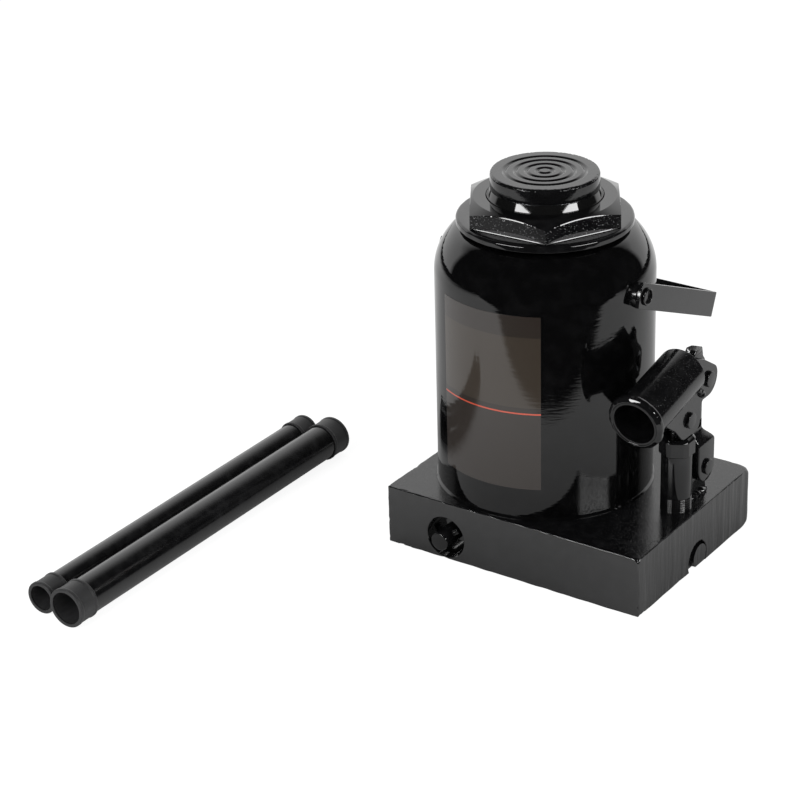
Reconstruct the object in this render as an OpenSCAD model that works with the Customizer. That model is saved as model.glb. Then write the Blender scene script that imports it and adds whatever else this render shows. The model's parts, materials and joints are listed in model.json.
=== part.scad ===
// Hydraulic bottle jack with a hand pump, a carrying strap and a two-part pump handle.
// The ram's axis is the Z axis, and the underside of the base lies on Z = 0.
// The base is long in X. Its pump end is +X, and the release valve is in its -Y face.

/* [Base] */
// Length of the base block
base_length = 212; // [208:1:230]
// Width of the base block
base_width = 166.6; // [164:0.2:180]
// Height of the base block
base_height = 46; // [45:0.5:48]
// From the ram's axis to the end of the block without the pump
base_back = 84.8; // [84:0.2:90]
// Chamfer along the block's edges
base_chamfer = 1.2; // [0.4:0.1:1.2]

/* [Tank] */
// Outer radius of the oil tank
tank_r = 79.5; // [79:0.1:80]
// Wall of the oil tank
tank_wall = 4; // [3:0.5:5]
// Height of the tank's top above the floor
tank_top = 243.4; // [240:0.2:245]
// Radius of the shoulder where it leaves the tank's wall
shoulder_side_r = 42.2; // [41:0.2:42.4]
// Radius of the shoulder where it turns into the tank's top
shoulder_edge_r = 18; // [17:0.5:18]
// Angle above level at which one radius passes into the other
shoulder_angle = 43; // [42:1:44]

/* [Top] */
// Radius of the cover ring on the tank's shoulder
cover_r = 63.4; // [62:0.2:66]
// Thickness of the cover ring
cover_h = 5.2; // [4:0.2:6]
// Width of the gland nut across its flats
nut_flats = 105.5; // [102:0.5:107]
// Height of the gland nut's hexagon
nut_h = 14.4; // [13:0.2:16]
// Angle of the chamfer on the nut's top edge
nut_chamfer_angle = 24; // [20:1:30]
// Angle at which the gland nut came to rest when it was tightened
nut_turn = 2; // [0:1:59]

/* [Ram] */
// Radius of the ram
ram_r = 38; // [36:0.5:38]
// Radius of the piston at the ram's foot
piston_r = 44.9; // [44:0.1:45]
// Wall of the pressure cylinder round the piston
cylinder_wall = 8; // [7:0.5:8]
// Height of the saddle's top above the floor with the ram down
saddle_top = 282.5; // [280:0.5:290]
// Radius of the saddle
saddle_r = 39; // [38.6:0.2:40]
// Height of the saddle
saddle_h = 11.2; // [9:0.2:12]
// Number of round grooves in the saddle's top
saddle_grooves = 4; // [2:1:4]
// Distance from one groove to the next
groove_step = 7.7; // [6:0.1:8]

/* [Pump] */
// From the ram's axis to the pump's axis
pump_x = 110; // [108:0.5:112]
// Radius of the pump's round body
pump_r = 11.3; // [11:0.1:12]
// Height of the pump's top above the floor
pump_top = 104; // [102:0.5:104]
// Width of the pump's wrench flats
pump_flats = 24.4; // [24:0.2:25]
// Radius of the plunger
plunger_r = 6.93; // [6:0.01:7]
// Pitch of the thread at the pump's foot
thread_pitch = 1.6; // [1.2:0.1:2]

/* [Lever] */
// Outer radius of the handle socket
socket_r = 18; // [17.6:0.1:18.2]
// Radius of the handle socket's bore
socket_bore_r = 15.8; // [15.4:0.1:16]
// Length of the handle socket
socket_length = 70; // [66:1:72]
// Slope of the handle socket at rest, its mouth low
socket_slope = 11.8; // [11:0.1:13]
// Radius of the raised ring at the socket's mouth
rim_r = 21.2; // [20.4:0.1:21.4]
// Length of the raised ring
rim_length = 7; // [5:0.5:9]
// Thickness of each plate under the socket
cheek_thick = 5; // [4:0.2:5.2]
// Gap between the two plates
cheek_gap = 9.2; // [9.2:0.1:9.6]

/* [Link] */
// Thickness of the link's bar, the lug and the plunger's eye
eye_thick = 8.6; // [8:0.1:8.6]
// Width of the link's fork over its two arms
fork_width = 21; // [20:0.5:22]
// Radius of the three pivot pins
pin_r = 5; // [4.5:0.1:5]
// Radius of a pin's head
pin_head_r = 6; // [5.8:0.1:6.6]
// Height of a pin's head
pin_head_h = 2.8; // [2.4:0.1:3.8]

/* [Carrying strap] */
// Length of the strap's legs from the pivot to the back
strap_length = 114; // [106:1:120]
// Width of the strap
strap_width = 18.6; // [16:0.2:20]
// Thickness of the strap
strap_thick = 3; // [2.5:0.1:3.2]
// Height of the strap's pivots above the floor
strap_z = 207; // [200:1:210]
// Droop of the strap at rest, below level
strap_droop = 23.5; // [18:0.5:30]

/* [Valves] */
// Place of the release valve along the front face
release_x = -34.3; // [-38:0.1:-30]
// Height of the release valve
release_z = 17.6; // [17.6:0.1:19]
// Radius of the counterbore round the release valve
release_counterbore_r = 15.9; // [15:0.1:15.9]
// Radius of the release valve's stem
stem_r = 7; // [6.5:0.1:7.4]
// How far the stem stands out of the front face
stem_out = 8.5; // [6:0.5:12]
// Radius of the counterbore in the pump end of the base
plug_counterbore_r = 13.6; // [13:0.1:15]

/* [Handle] */
// Length of the large handle half over its caps
large_length = 322; // [300:1:330]
// Radius of the large handle tube
large_r = 13.7; // [13.4:0.1:14]
// Length of the small handle half over its caps
small_length = 317; // [300:1:330]
// Radius of the small handle tube
small_r = 11; // [10.8:0.1:11.4]
// Wall of both handle tubes
handle_wall = 1.5; // [1.2:0.1:1.8]
// Wall of the plastic end caps
cap_wall = 1.3; // [1:0.1:1.5]
// Length of the end caps
cap_length = 18; // [15:1:22]

/* [Label] */
// Height of the label
label_h = 134; // [100:1:140]
// Width of the label, measured round the tank
label_w = 84.5; // [60:0.5:90]

/* [Hidden] */
$fn = 96;

// Colours
enamel = "#141414";
steel = "#8d9094";
bright_steel = "#b9bcc0";
rubber = "#26241f";
copper = "#b0713f";
plastic = "#1b1b1c";
paper = "#3a3733";

// Base
base_front = -base_width / 2;
base_end = base_length - base_back;
recess_z = 27;
gasket_h = 1;
cylinder_z = recess_z + gasket_h;
groove_depth = 2;
press = 0.2;
running = 0.08;

// Tank, cover ring and nut, from the base upwards
tank_inner = tank_r - tank_wall;
tank_z = base_height - groove_depth + gasket_h;
tank_neck_r = 53.4;
tank_flat_r = tank_r - shoulder_side_r + (shoulder_side_r - shoulder_edge_r) * cos(shoulder_angle);
upper_gasket_h = 1.8;
cover_z = tank_top + upper_gasket_h;
cover_top = cover_z + cover_h;
nut_z = cover_top + press;
nut_top = nut_z + nut_h;
nut_corner_r = nut_flats / sqrt(3);
nut_face_r = nut_flats / 2 - 1.7;
nut_foot_chamfer = 1.2;
nut_chamfer_drop = (nut_corner_r + 1 - nut_face_r) * tan(nut_chamfer_angle);
spigot_h = 25;
wiper_r = 41.5;
wiper_h = 6.5;
collar_h = 0.6;
collar_wall = 1.1;
seal_h = 6;

// Ram and pressure cylinder
cylinder_r = piston_r + running;
cylinder_out = cylinder_r + cylinder_wall;
ram_z = cylinder_z + 2;
piston_h = 28;
ram_top = saddle_top - saddle_h - press;
stub_r = 15;
stub_h = 14;
groove_w = 3.2;
groove_d = 1.1;
saddle_edge = 1.7;
first_groove = 5.4;

// Pump
pump_z = 24;
thread_top = base_height + 11;
thread_depth = 0.8;
hex_z = pump_top - 14.2;
hex_corner_r = 13;
chamber_r = 5;
packing_r = 9.5;
packing_h = 5;
packing_top = pump_top - 9;
plunger_z = 30;

// Lever: places are [Y, Z] in the pump's plane
mid_pin = [0, 117.5];
upper_pin = [27, 139];
lower_pin = [26, 70];
socket_mouth = [-63.2, 137.9];
socket_axis = [cos(socket_slope), sin(socket_slope)];
socket_rear = socket_mouth + socket_length * socket_axis;
ear_r = 13.5;
lobe_r = 13;
cheek_front = -40;
cheek_back = 16;
cheek_in = cheek_gap / 2;
cheek_out = cheek_in + cheek_thick;
open_pivot_r = 7;
neck_z = mid_pin[1] - 20.6;
clip_r = 7.6;
clip_thick = 1.2;
clip_groove_r = 4;
tail = 2.4;

// Link
fork_r = 11.5;
lug_r = 10;
slot_top = lower_pin[1] + lug_r + 2;
bar_front = 14;
bar_back = 28.8;
shoulder_z = 90;
shoulder_top = 98;
link_top = 163;

// Carrying strap
strap_y = -5;
strap_in = tank_r + 2.2;
strap_shift = 1.3;
strap_end = 8.5;
strap_out = strap_in + strap_thick;
strap_bend = 5;
strap_screw_r = 5;
strap_head_r = 6.4;
strap_head_h = 2.2;
boss_r = 9.4;
boss_neck_r = 8;
boss_depth = 8;

// Release valve, from the front face inwards
counterbore_y = base_front + 13;
seat_y = base_front + 43.3;
passage_r = 3;
riser_r = 3.6;
release_ball_r = 4;
release_ball_y = seat_y - sqrt(pow(release_ball_r, 2) - pow(passage_r, 2));
stem_end_y = release_ball_y - release_ball_r;
stem_neck_y = counterbore_y + 9;
stem_neck_r = 5;
cross_pin_r = 2.5;
cross_pin_length = 25;
cross_pin_y = base_front + 3;
cross_pin_angle = 35;
stem_groove_y = counterbore_y + 3;
seal_minor_r = 1.2;
return_y = -56;
drain_y = -20;

// Delivery, suction and overload passages
plug_y = 4.6;
plug_pocket = [3.4, 6.6];
plug_head = [7.6, 6.6];
plug_head_r = 9.2;
plug_lift = 0.3;
delivery_z = 8;
delivery_r = 4;
delivery_end_x = 30;
plug_thread_r = 6;
plug_floor_x = base_end - 6;
plug_end_x = pump_x + chamber_r + 0.5;
plug_head_x = base_end - 0.4;
delivery_ball_r = 3.9;
delivery_ball_x = 92;
suction_x = 66;
suction_y = 12;
suction_z = 17.5;
suction_seat_z = 28;
suction_ball_r = 3.9;
suction_ball_z = suction_seat_z - sqrt(pow(suction_ball_r, 2) - pow(passage_r, 2));
overload_x = -66;
overload_r = 4.5;
overload_z = 22;
overload_ball_r = 3.4;
overload_ball_z = overload_z + sqrt(pow(overload_ball_r, 2) - pow(passage_r, 2));
overload_pass_z = 14;
overload_pass_x = -30;
spring_wire = 1;

// Filler plug, on the tank's back
filler_angle = 135;
filler_z = 205;
filler_r = 6;
filler_head_r = 9.5;
filler_head_h = 5;

// Handle halves, lying beside the jack
large_x = -206;
small_x = -234;
handle_far_y = 15.5;

// Label
label_gap = 0.02;
label_thick = 0.25;
label_z = 70.5;
label_middle = -90.8;
label_angle = label_w / tank_r * 180 / PI;

// Extrudes a [Y, Z] outline along X, from x0 to x1.
module plate_x(x0, x1) {
    translate([x0, 0, 0])
        rotate([90, 0, 90])
            linear_extrude(x1 - x0)
                children();
}

// Extrudes an [X, Z] outline along Y, from y0 to y1.
module plate_y(y0, y1) {
    translate([0, y1, 0])
        rotate([90, 0, 0])
            linear_extrude(y1 - y0)
                children();
}

// Round bar along X from x0 to x1, with its axis at [y, z].
module bar_x(x0, x1, place, r) {
    translate([x0, place[0], place[1]])
        rotate([0, 90, 0])
            cylinder(h = x1 - x0, r = r);
}

// Round bar along Y from y0 to y1, with its axis at [x, z].
module bar_y(y0, y1, place, r) {
    translate([place[0], y0, place[1]])
        rotate([-90, 0, 0])
            cylinder(h = y1 - y0, r = r);
}

// Upright round bar from z0 to z1, with its axis at [x, y].
module bar_z(z0, z1, place, r) {
    translate([place[0], place[1], z0])
        cylinder(h = z1 - z0, r = r);
}

// Upright ring from z0 to z1 round [x, y].
module ring_z(z0, z1, place, r_out, r_in) {
    difference() {
        bar_z(z0, z1, place, r_out);
        bar_z(z0 - 1, z1 + 1, place, r_in);
    }
}

// Rectangle from low to high with its four corners cut off.
module cut_rectangle(low, high, cut) {
    polygon([
        [low[0] + cut, low[1]], [high[0] - cut, low[1]],
        [high[0], low[1] + cut], [high[0], high[1] - cut],
        [high[0] - cut, high[1]], [low[0] + cut, high[1]],
        [low[0], high[1] - cut], [low[0], low[1] + cut]
    ]);
}

// Block with all twelve edges chamfered.
module chamfered_block() {
    intersection() {
        linear_extrude(base_height)
            cut_rectangle([-base_back, base_front], [base_end, -base_front], base_chamfer);
        plate_x(-base_back, base_end)
            cut_rectangle([base_front, 0], [-base_front, base_height], base_chamfer);
        plate_y(base_front, -base_front)
            cut_rectangle([-base_back, 0], [base_end, base_height], base_chamfer);
    }
}

// Bores that the release valve needs: counterbore, stem bore, seat passage, drain and return.
module release_passages() {
    place = [release_x, release_z];
    bar_y(base_front - 1, counterbore_y, place, release_counterbore_r);
    bar_y(base_front, seat_y, place, stem_r + running);
    bar_y(seat_y - 1, drain_y, place, passage_r);
    bar_z(release_z - riser_r, recess_z + 1, [release_x, drain_y], riser_r);
    bar_z(release_z, base_height + 1, [release_x, return_y], passage_r);
}

// Bores between the pump, the tank and the pressure cylinder, and the overload valve's.
module pump_passages() {
    bar_z(pump_z - gasket_h, base_height + 1, [pump_x, 0], pump_r);
    bar_z(delivery_z - 3, pump_z, [pump_x, 0], chamber_r);
    bar_x(plug_floor_x, base_end + 1, plug_pocket, plug_counterbore_r);
    bar_x(plug_end_x, base_end, [plug_y, delivery_z], plug_thread_r);
    bar_x(delivery_end_x - delivery_r - 1, base_end, [plug_y, delivery_z], delivery_r);
    bar_z(delivery_z, recess_z + 1, [delivery_end_x, plug_y], passage_r);
    bar_z(suction_z - riser_r, suction_seat_z, [suction_x, suction_y], suction_ball_r + 0.1);
    bar_z(suction_z, base_height + 1, [suction_x, suction_y], passage_r);
    translate([suction_x, suction_y, suction_z])
        rotate([0, 90, atan2(-suction_y, pump_x - suction_x)])
            cylinder(h = norm([pump_x - suction_x, suction_y]), r = passage_r);
    bar_z(overload_z, base_height + 1, [overload_x, 0], overload_r);
    bar_z(overload_pass_z - riser_r, overload_z + 1, [overload_x, 0], passage_r);
    bar_x(overload_x, overload_pass_x, [0, overload_pass_z], passage_r - 0.6);
    bar_z(overload_pass_z - riser_r, recess_z + 1, [overload_pass_x, 0], passage_r);
}

module base_block() {
    color(enamel)
        difference() {
            chamfered_block();
            bar_z(recess_z, base_height + 1, [0, 0], cylinder_out + press);
            ring_z(base_height - groove_depth, base_height + 1, [0, 0], tank_r + press, tank_inner - press);
            release_passages();
            pump_passages();
        }
}

module link_lug() {
    color(enamel)
        plate_x(pump_x - eye_thick / 2, pump_x + eye_thick / 2)
            difference() {
                union() {
                    translate(lower_pin)
                        circle(lug_r);
                    polygon([
                        [lower_pin[0] - fork_r, base_height], [lower_pin[0] + fork_r, base_height],
                        [lower_pin[0] + lug_r, base_height + 6], [lower_pin[0] + lug_r, lower_pin[1]],
                        [lower_pin[0] - lug_r, lower_pin[1]], [lower_pin[0] - lug_r, base_height + 6]
                    ]);
                }
                translate(lower_pin)
                    circle(pin_r + running);
            }
}

// Half section of the tank, of radius r and with its top at z: a straight wall, then a shoulder of two
// arcs, a wide one that leaves the wall and a tight one that turns into the top.
module tank_section(r, wide_r, tight_r, z) {
    turn = [cos(shoulder_angle), sin(shoulder_angle)];
    step = (wide_r - tight_r) * turn;
    wide = [r - wide_r, z - tight_r - step[1]];
    square([r, wide[1]]);
    square([wide[0] + step[0], z]);
    intersection() {
        translate(wide)
            circle(wide_r);
        translate(wide)
            polygon([[0, 0], [2 * wide_r, 0], 2 * wide_r * turn]);
    }
    translate(wide + step)
        circle(tight_r);
}

// Outside of the tank as a full body.
module tank_form() {
    rotate_extrude()
        tank_section(tank_r, shoulder_side_r, shoulder_edge_r, tank_top);
}

module tank_shell() {
    color(enamel)
        difference() {
            rotate_extrude()
                intersection() {
                    difference() {
                        tank_section(tank_r, shoulder_side_r, shoulder_edge_r, tank_top);
                        tank_section(tank_inner, shoulder_side_r - tank_wall, shoulder_edge_r - tank_wall,
                            tank_top - tank_wall);
                    }
                    translate([tank_neck_r, tank_z])
                        square([tank_r, tank_top]);
                }
            for (side = [-1, 1])
                bar_x(min(0, side * 100), max(0, side * 100), [strap_y, strap_z], boss_neck_r);
            rotate([0, 0, filler_angle])
                bar_x(0, 100, [0, filler_z], filler_r);
        }
}

module tank_gasket_lower() {
    color(rubber)
        ring_z(base_height - groove_depth, tank_z, [0, 0], tank_r, tank_inner);
}

module tank_gasket_upper() {
    color(rubber)
        ring_z(tank_top, cover_z, [0, 0], tank_flat_r + 1, tank_neck_r + press);
}

module pressure_cylinder() {
    color(steel)
        ring_z(cylinder_z, cover_top, [0, 0], cylinder_out, cylinder_r);
}

module cylinder_gasket() {
    color(copper)
        ring_z(recess_z, cylinder_z, [0, 0], cylinder_out - 0.5, cylinder_r + 1);
}

module cover_ring() {
    color(enamel)
        rotate_extrude()
            cut_rectangle([cylinder_out + press, cover_z], [cover_r, cover_top], 0.8);
}

module gland_nut() {
    color(enamel)
        difference() {
            union() {
                intersection() {
                    translate([0, 0, nut_z])
                        rotate([0, 0, nut_turn])
                            cylinder(h = nut_h, r = nut_corner_r, $fn = 6);
                    rotate_extrude()
                        polygon([
                            [0, nut_z], [nut_corner_r - nut_foot_chamfer, nut_z],
                            [nut_corner_r + 1, nut_z + nut_foot_chamfer],
                            [nut_corner_r + 1, nut_top - nut_chamfer_drop],
                            [nut_face_r, nut_top], [0, nut_top]
                        ]);
                }
                bar_z(nut_z - spigot_h, nut_z + 1, [0, 0], cylinder_r);
            }
            bar_z(0, saddle_top, [0, 0], ram_r + running);
            bar_z(nut_top - wiper_h, saddle_top, [0, 0], wiper_r);
            bar_z(nut_z - spigot_h + seal_h, nut_z - spigot_h + 2 * seal_h, [0, 0], wiper_r);
        }
}

module gland_seal() {
    color(rubber)
        ring_z(nut_z - spigot_h + seal_h, nut_z - spigot_h + 2 * seal_h, [0, 0], wiper_r, ram_r + running);
}

// Dust wiper, whose tapered collar stands above the nut and nearly meets the saddle with the ram down.
module wiper_seal() {
    collar_top = ram_top - press;
    color(rubber)
        rotate_extrude()
            polygon([
                [ram_r + running, nut_top - wiper_h], [wiper_r, nut_top - wiper_h],
                [wiper_r, nut_top + collar_h], [ram_r + collar_wall, collar_top],
                [ram_r + running, collar_top]
            ]);
}

module ram() {
    color(bright_steel)
        difference() {
            union() {
                bar_z(ram_z, ram_z + piston_h, [0, 0], piston_r);
                bar_z(ram_z, ram_top, [0, 0], ram_r);
            }
            bar_z(ram_top - stub_h - 1, ram_top + 1, [0, 0], stub_r);
            ring_z(ram_z + 10, ram_z + 10 + seal_h, [0, 0], piston_r + 1, ram_r + 2);
        }
}

module piston_seal() {
    color(rubber)
        ring_z(ram_z + 10, ram_z + 10 + seal_h, [0, 0], piston_r + 0.05, ram_r + 2);
}

module saddle() {
    color(enamel)
        difference() {
            union() {
                rotate_extrude()
                    polygon([
                        [0, ram_top + press], [saddle_r - 0.8, ram_top + press],
                        [saddle_r, ram_top + press + 1], [saddle_r, saddle_top - saddle_edge],
                        [saddle_r - 0.7, saddle_top], [0, saddle_top]
                    ]);
                bar_z(ram_top - stub_h, ram_top + 1, [0, 0], stub_r);
            }
            for (k = [0 : saddle_grooves - 1])
                let (r = first_groove + k * groove_step)
                    rotate_extrude()
                        polygon([
                            [r - groove_w / 2, saddle_top + 0.01], [r, saddle_top - groove_d],
                            [r + groove_w / 2, saddle_top + 0.01]
                        ]);
        }
}

// Pump body: plain foot in the base, thread rings above it, a round body and a wrench head.
module pump_cylinder() {
    turns = floor((thread_top - base_height) / thread_pitch);
    thread = [for (k = [0 : turns - 1], half = [0, 1])
        [pump_r - half * thread_depth, base_height + (k + half / 2) * thread_pitch]];
    color(steel)
        difference() {
            union() {
                translate([pump_x, 0, 0])
                    rotate_extrude()
                        polygon(concat(
                            [[0, pump_z], [pump_r, pump_z]],
                            thread,
                            [[pump_r, thread_top], [pump_r, hex_z], [0, hex_z]]));
                intersection() {
                    translate([pump_x, 0, hex_z])
                        rotate([0, 0, 30])
                            cylinder(h = pump_top - hex_z, r = pump_flats / sqrt(3), $fn = 6);
                    translate([pump_x, 0, 0])
                        rotate_extrude()
                            polygon([
                                [0, hex_z - 1], [pump_r, hex_z], [hex_corner_r, hex_z + 1.4],
                                [hex_corner_r, pump_top - 2], [pump_r - 0.6, pump_top], [0, pump_top]
                            ]);
                }
            }
            bar_z(plunger_z - 2, pump_top + 1, [pump_x, 0], plunger_r + 0.07);
            bar_z(pump_z - 1, plunger_z, [pump_x, 0], passage_r);
            bar_z(packing_top - packing_h, packing_top, [pump_x, 0], packing_r);
        }
}

module pump_washer() {
    color(copper)
        ring_z(pump_z - gasket_h, pump_z, [pump_x, 0], pump_r - 0.2, chamber_r + 0.4);
}

module pump_packing() {
    color(rubber)
        ring_z(packing_top - packing_h, packing_top, [pump_x, 0], packing_r, plunger_r + 0.07);
}

// Plunger: a round rod whose top is milled flat on both sides, with an eye between the plates.
module plunger() {
    color(bright_steel)
        difference() {
            union() {
                bar_z(plunger_z, neck_z, [pump_x, 0], plunger_r);
                intersection() {
                    bar_z(neck_z - 1, mid_pin[1], [pump_x, 0], plunger_r);
                    translate([pump_x - eye_thick / 2, -plunger_r, neck_z - 1])
                        cube([eye_thick, 2 * plunger_r, mid_pin[1]]);
                }
                plate_x(pump_x - eye_thick / 2, pump_x + eye_thick / 2)
                    translate(mid_pin)
                        circle(open_pivot_r + 3.5);
            }
            bar_x(pump_x - 20, pump_x + 20, mid_pin, open_pivot_r);
            ring_z(plunger_z + 5, plunger_z + 9, [pump_x, 0], plunger_r + 1, plunger_r - 1.6);
        }
}

module plunger_seal() {
    color(rubber)
        ring_z(plunger_z + 5, plunger_z + 9, [pump_x, 0], plunger_r + 0.03, plunger_r - 1.6);
}

// Side outline of the link: fork end, waist set forward, upper eye and a stop above it.
module link_side() {
    translate(lower_pin)
        circle(fork_r);
    translate(upper_pin)
        circle(ear_r - 1.5);
    polygon([
        [lower_pin[0] - fork_r, lower_pin[1]], [lower_pin[0] + fork_r, lower_pin[1]],
        [lower_pin[0] + fork_r, shoulder_z - 1], [bar_back, shoulder_top + 3],
        [bar_back, upper_pin[1] - ear_r], [bar_back + 3.7, link_top - 15],
        [bar_back + 2.5, link_top - 11.4], [bar_back - 8, link_top],
        [bar_front + 1, link_top - 0.5], [bar_front - 1.5, link_top - 8],
        [bar_front, link_top - 16], [bar_front, pump_top], [lower_pin[0] - fork_r, shoulder_z]
    ]);
}

// Front outline of the link: a bar that widens over sloped shoulders into two arms.
module link_front() {
    arm = fork_width / 2;
    bar = eye_thick / 2;
    foot = lower_pin[1] - fork_r - 1;
    translate([pump_x, 0])
        polygon([
            [-arm, foot], [-arm, shoulder_z], [-bar, shoulder_top], [-bar, link_top + 1],
            [bar, link_top + 1], [bar, shoulder_top], [arm, shoulder_z], [arm, foot],
            [cheek_in, foot], [cheek_in, slot_top], [-cheek_in, slot_top], [-cheek_in, foot]
        ]);
}

module link() {
    color(enamel)
        difference() {
            intersection() {
                plate_x(pump_x - fork_width, pump_x + fork_width)
                    link_side();
                plate_y(0, 2 * upper_pin[0])
                    link_front();
            }
            bar_x(pump_x - 20, pump_x + 20, upper_pin, pin_r + running);
            bar_x(pump_x - 20, pump_x + 20, lower_pin, pin_r);
        }
}

// Round bar along the handle socket's axis, from start to end measured from its mouth.
module socket_bar(start, end, r) {
    translate([pump_x, socket_mouth[0], socket_mouth[1]])
        rotate([socket_slope - 90, 0, 0])
            translate([0, 0, start])
                cylinder(h = end - start, r = r);
}

module socket_tube() {
    color(enamel)
        difference() {
            socket_bar(0, socket_length, socket_r);
            socket_bar(-1, socket_length + 1, socket_bore_r);
        }
}

// Raised ring round the socket's mouth, with a rounded outer edge.
module socket_rim() {
    edge = (rim_r - socket_r) * 0.9;
    color(enamel)
        translate([pump_x, socket_mouth[0], socket_mouth[1]])
            rotate([socket_slope - 90, 0, 0])
                rotate_extrude()
                    union() {
                        translate([socket_r, edge])
                            square([rim_r - socket_r, rim_length - 2 * edge]);
                        for (z = [edge, rim_length - edge])
                            intersection() {
                                translate([rim_r - edge, z])
                                    circle(edge);
                                translate([socket_r, 0])
                                    square([rim_r, rim_length]);
                            }
                    }
}

// Side outline of a lever plate: an ear at the link's pin, a lobe at the plunger's pin and a web.
module cheek_side() {
    difference() {
        union() {
            translate(upper_pin)
                circle(ear_r);
            translate(mid_pin)
                circle(lobe_r);
            polygon([
                [cheek_front, socket_mouth[1] - 13], [cheek_front / 2, mid_pin[1] - 1.5],
                [-lobe_r * 0.6, mid_pin[1] - lobe_r * 0.8], [cheek_back - 2, mid_pin[1] - lobe_r * 0.8],
                [cheek_back, mid_pin[1] - lobe_r * 0.7], [cheek_back, upper_pin[1] - ear_r - 3.5],
                [cheek_back + 3.5, upper_pin[1] - ear_r], [upper_pin[0], upper_pin[1] - ear_r],
                [upper_pin[0] + ear_r, upper_pin[1]], [upper_pin[0] + 8.3, upper_pin[1] + 8.4],
                [upper_pin[0] - 6, upper_pin[1] + 17.5], [socket_rear[0], socket_rear[1] + 11],
                [cheek_front, socket_mouth[1] + 4]
            ]);
        }
        translate(upper_pin)
            circle(pin_r);
        translate(mid_pin)
            circle(pin_r);
    }
}

module lever_cheek(x0, x1) {
    color(enamel)
        difference() {
            plate_x(x0, x1)
                cheek_side();
            socket_bar(0, socket_length, socket_r);
        }
}

module lever_cheek_near() {
    lever_cheek(pump_x + cheek_in, pump_x + cheek_out);
}

module lever_cheek_far() {
    lever_cheek(pump_x - cheek_out, pump_x - cheek_in);
}

// Headed pin through plates whose outer faces are half apart on each side of the pump's plane.
module headed_pin(place, half) {
    color(steel)
        difference() {
            union() {
                bar_x(pump_x - half - clip_thick - tail, pump_x + half, place, pin_r);
                bar_x(pump_x + half, pump_x + half + pin_head_h, place, pin_head_r);
            }
            difference() {
                bar_x(pump_x - half - clip_thick, pump_x - half, place, pin_r + 1);
                bar_x(pump_x - half - clip_thick, pump_x - half, place, clip_groove_r);
            }
        }
}

// Open spring clip in a pin's groove.
module pin_clip(place, half) {
    color(bright_steel)
        difference() {
            bar_x(pump_x - half - clip_thick, pump_x - half, place, clip_r);
            bar_x(pump_x - half - 2 * clip_thick, pump_x, place, clip_groove_r);
            translate([pump_x - half - 2 * clip_thick, place[0] - 2, place[1] - clip_r - 1])
                cube([3 * clip_thick, 4, clip_r]);
        }
}

module plunger_pin() {
    headed_pin(mid_pin, cheek_out);
}

module link_pin() {
    headed_pin(upper_pin, cheek_out);
}

module base_pin() {
    headed_pin(lower_pin, fork_width / 2);
}

module lever_pin_clips() {
    pin_clip(mid_pin, cheek_out);
    pin_clip(upper_pin, cheek_out);
}

module base_pin_clip() {
    pin_clip(lower_pin, fork_width / 2);
}

// Plan of a block with two rounded back corners: half is its half width, back its reach from the pivot.
module strap_plan(half, back, bend) {
    translate([-half, -strap_end])
        square([2 * half, back + strap_end - bend]);
    translate([-half + bend, 0])
        square([2 * (half - bend), back]);
    for (side = [-1, 1])
        translate([side * (half - bend), back - bend])
            circle(bend);
}

// Strap bent to a wide U, which sits a little to the pump's side of the tank.
module carry_strap() {
    color(enamel)
        difference() {
            translate([strap_shift, strap_y, strap_z])
                rotate([-strap_droop, 0, 0])
                    translate([0, 0, -strap_width / 2])
                        linear_extrude(strap_width)
                            difference() {
                                strap_plan(strap_out, strap_length, strap_bend);
                                translate([0, -1])
                                    strap_plan(strap_in, strap_length - strap_thick + 1,
                                        strap_bend - strap_thick);
                            }
            bar_x(-100, 100, [strap_y, strap_z], strap_screw_r + running);
        }
}

// Inner face of the strap's leg on one side of the tank: side is 0 at the pump and 1 away from it.
function strap_face(side) = strap_in + (1 - 2 * side) * strap_shift;

// Bosses through the tank's wall, each with a blind hole for the pivot screw.
module strap_bosses() {
    place = [strap_y, strap_z];
    color(enamel)
        for (side = [0, 1])
            mirror([side, 0, 0])
                difference() {
                    union() {
                        difference() {
                            bar_x(tank_r - 4, strap_face(side) - 0.3, place, boss_r);
                            tank_form();
                        }
                        bar_x(tank_r - boss_depth, strap_face(side) - 0.3, place, boss_neck_r);
                    }
                    bar_x(tank_r - boss_depth + 2, strap_out + strap_thick, place, strap_screw_r);
                }
}

module strap_screws() {
    place = [strap_y, strap_z];
    color(steel)
        for (side = [0, 1])
            let (head_x = strap_face(side) + strap_thick + 0.3)
                mirror([side, 0, 0])
                    difference() {
                        union() {
                            bar_x(tank_r - boss_depth + 2.5, head_x, place, strap_screw_r);
                            translate([head_x, strap_y, strap_z])
                                rotate([0, 90, 0])
                                    cylinder(h = strap_head_h, r1 = strap_head_r, r2 = strap_head_r - 1.4);
                        }
                        translate([head_x + 1.1, strap_y - 0.8, strap_z - 10])
                            cube([4, 1.6, 20]);
                    }
}

module release_stem() {
    place = [release_x, release_z];
    color(steel)
        difference() {
            union() {
                bar_y(base_front - stem_out, stem_neck_y, place, stem_r);
                bar_y(stem_neck_y, stem_end_y, place, stem_neck_r);
            }
            difference() {
                bar_y(stem_groove_y, stem_groove_y + 2 * seal_minor_r, place, stem_r + 1);
                bar_y(stem_groove_y - 1, stem_groove_y + 3 * seal_minor_r, place, stem_r - 2 * seal_minor_r);
            }
            release_cross_bar(cross_pin_r, stem_r * 4);
        }
}

// Bar across the release valve's stem.
module release_cross_bar(r, length) {
    translate([release_x, cross_pin_y, release_z])
        rotate([0, 90 - cross_pin_angle, 0])
            translate([0, 0, -length / 2])
                cylinder(h = length, r = r);
}

module release_cross_pin() {
    color(steel)
        release_cross_bar(cross_pin_r, cross_pin_length);
}

module release_ball() {
    color(bright_steel)
        translate([release_x, release_ball_y, release_z])
            sphere(release_ball_r);
}

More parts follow.
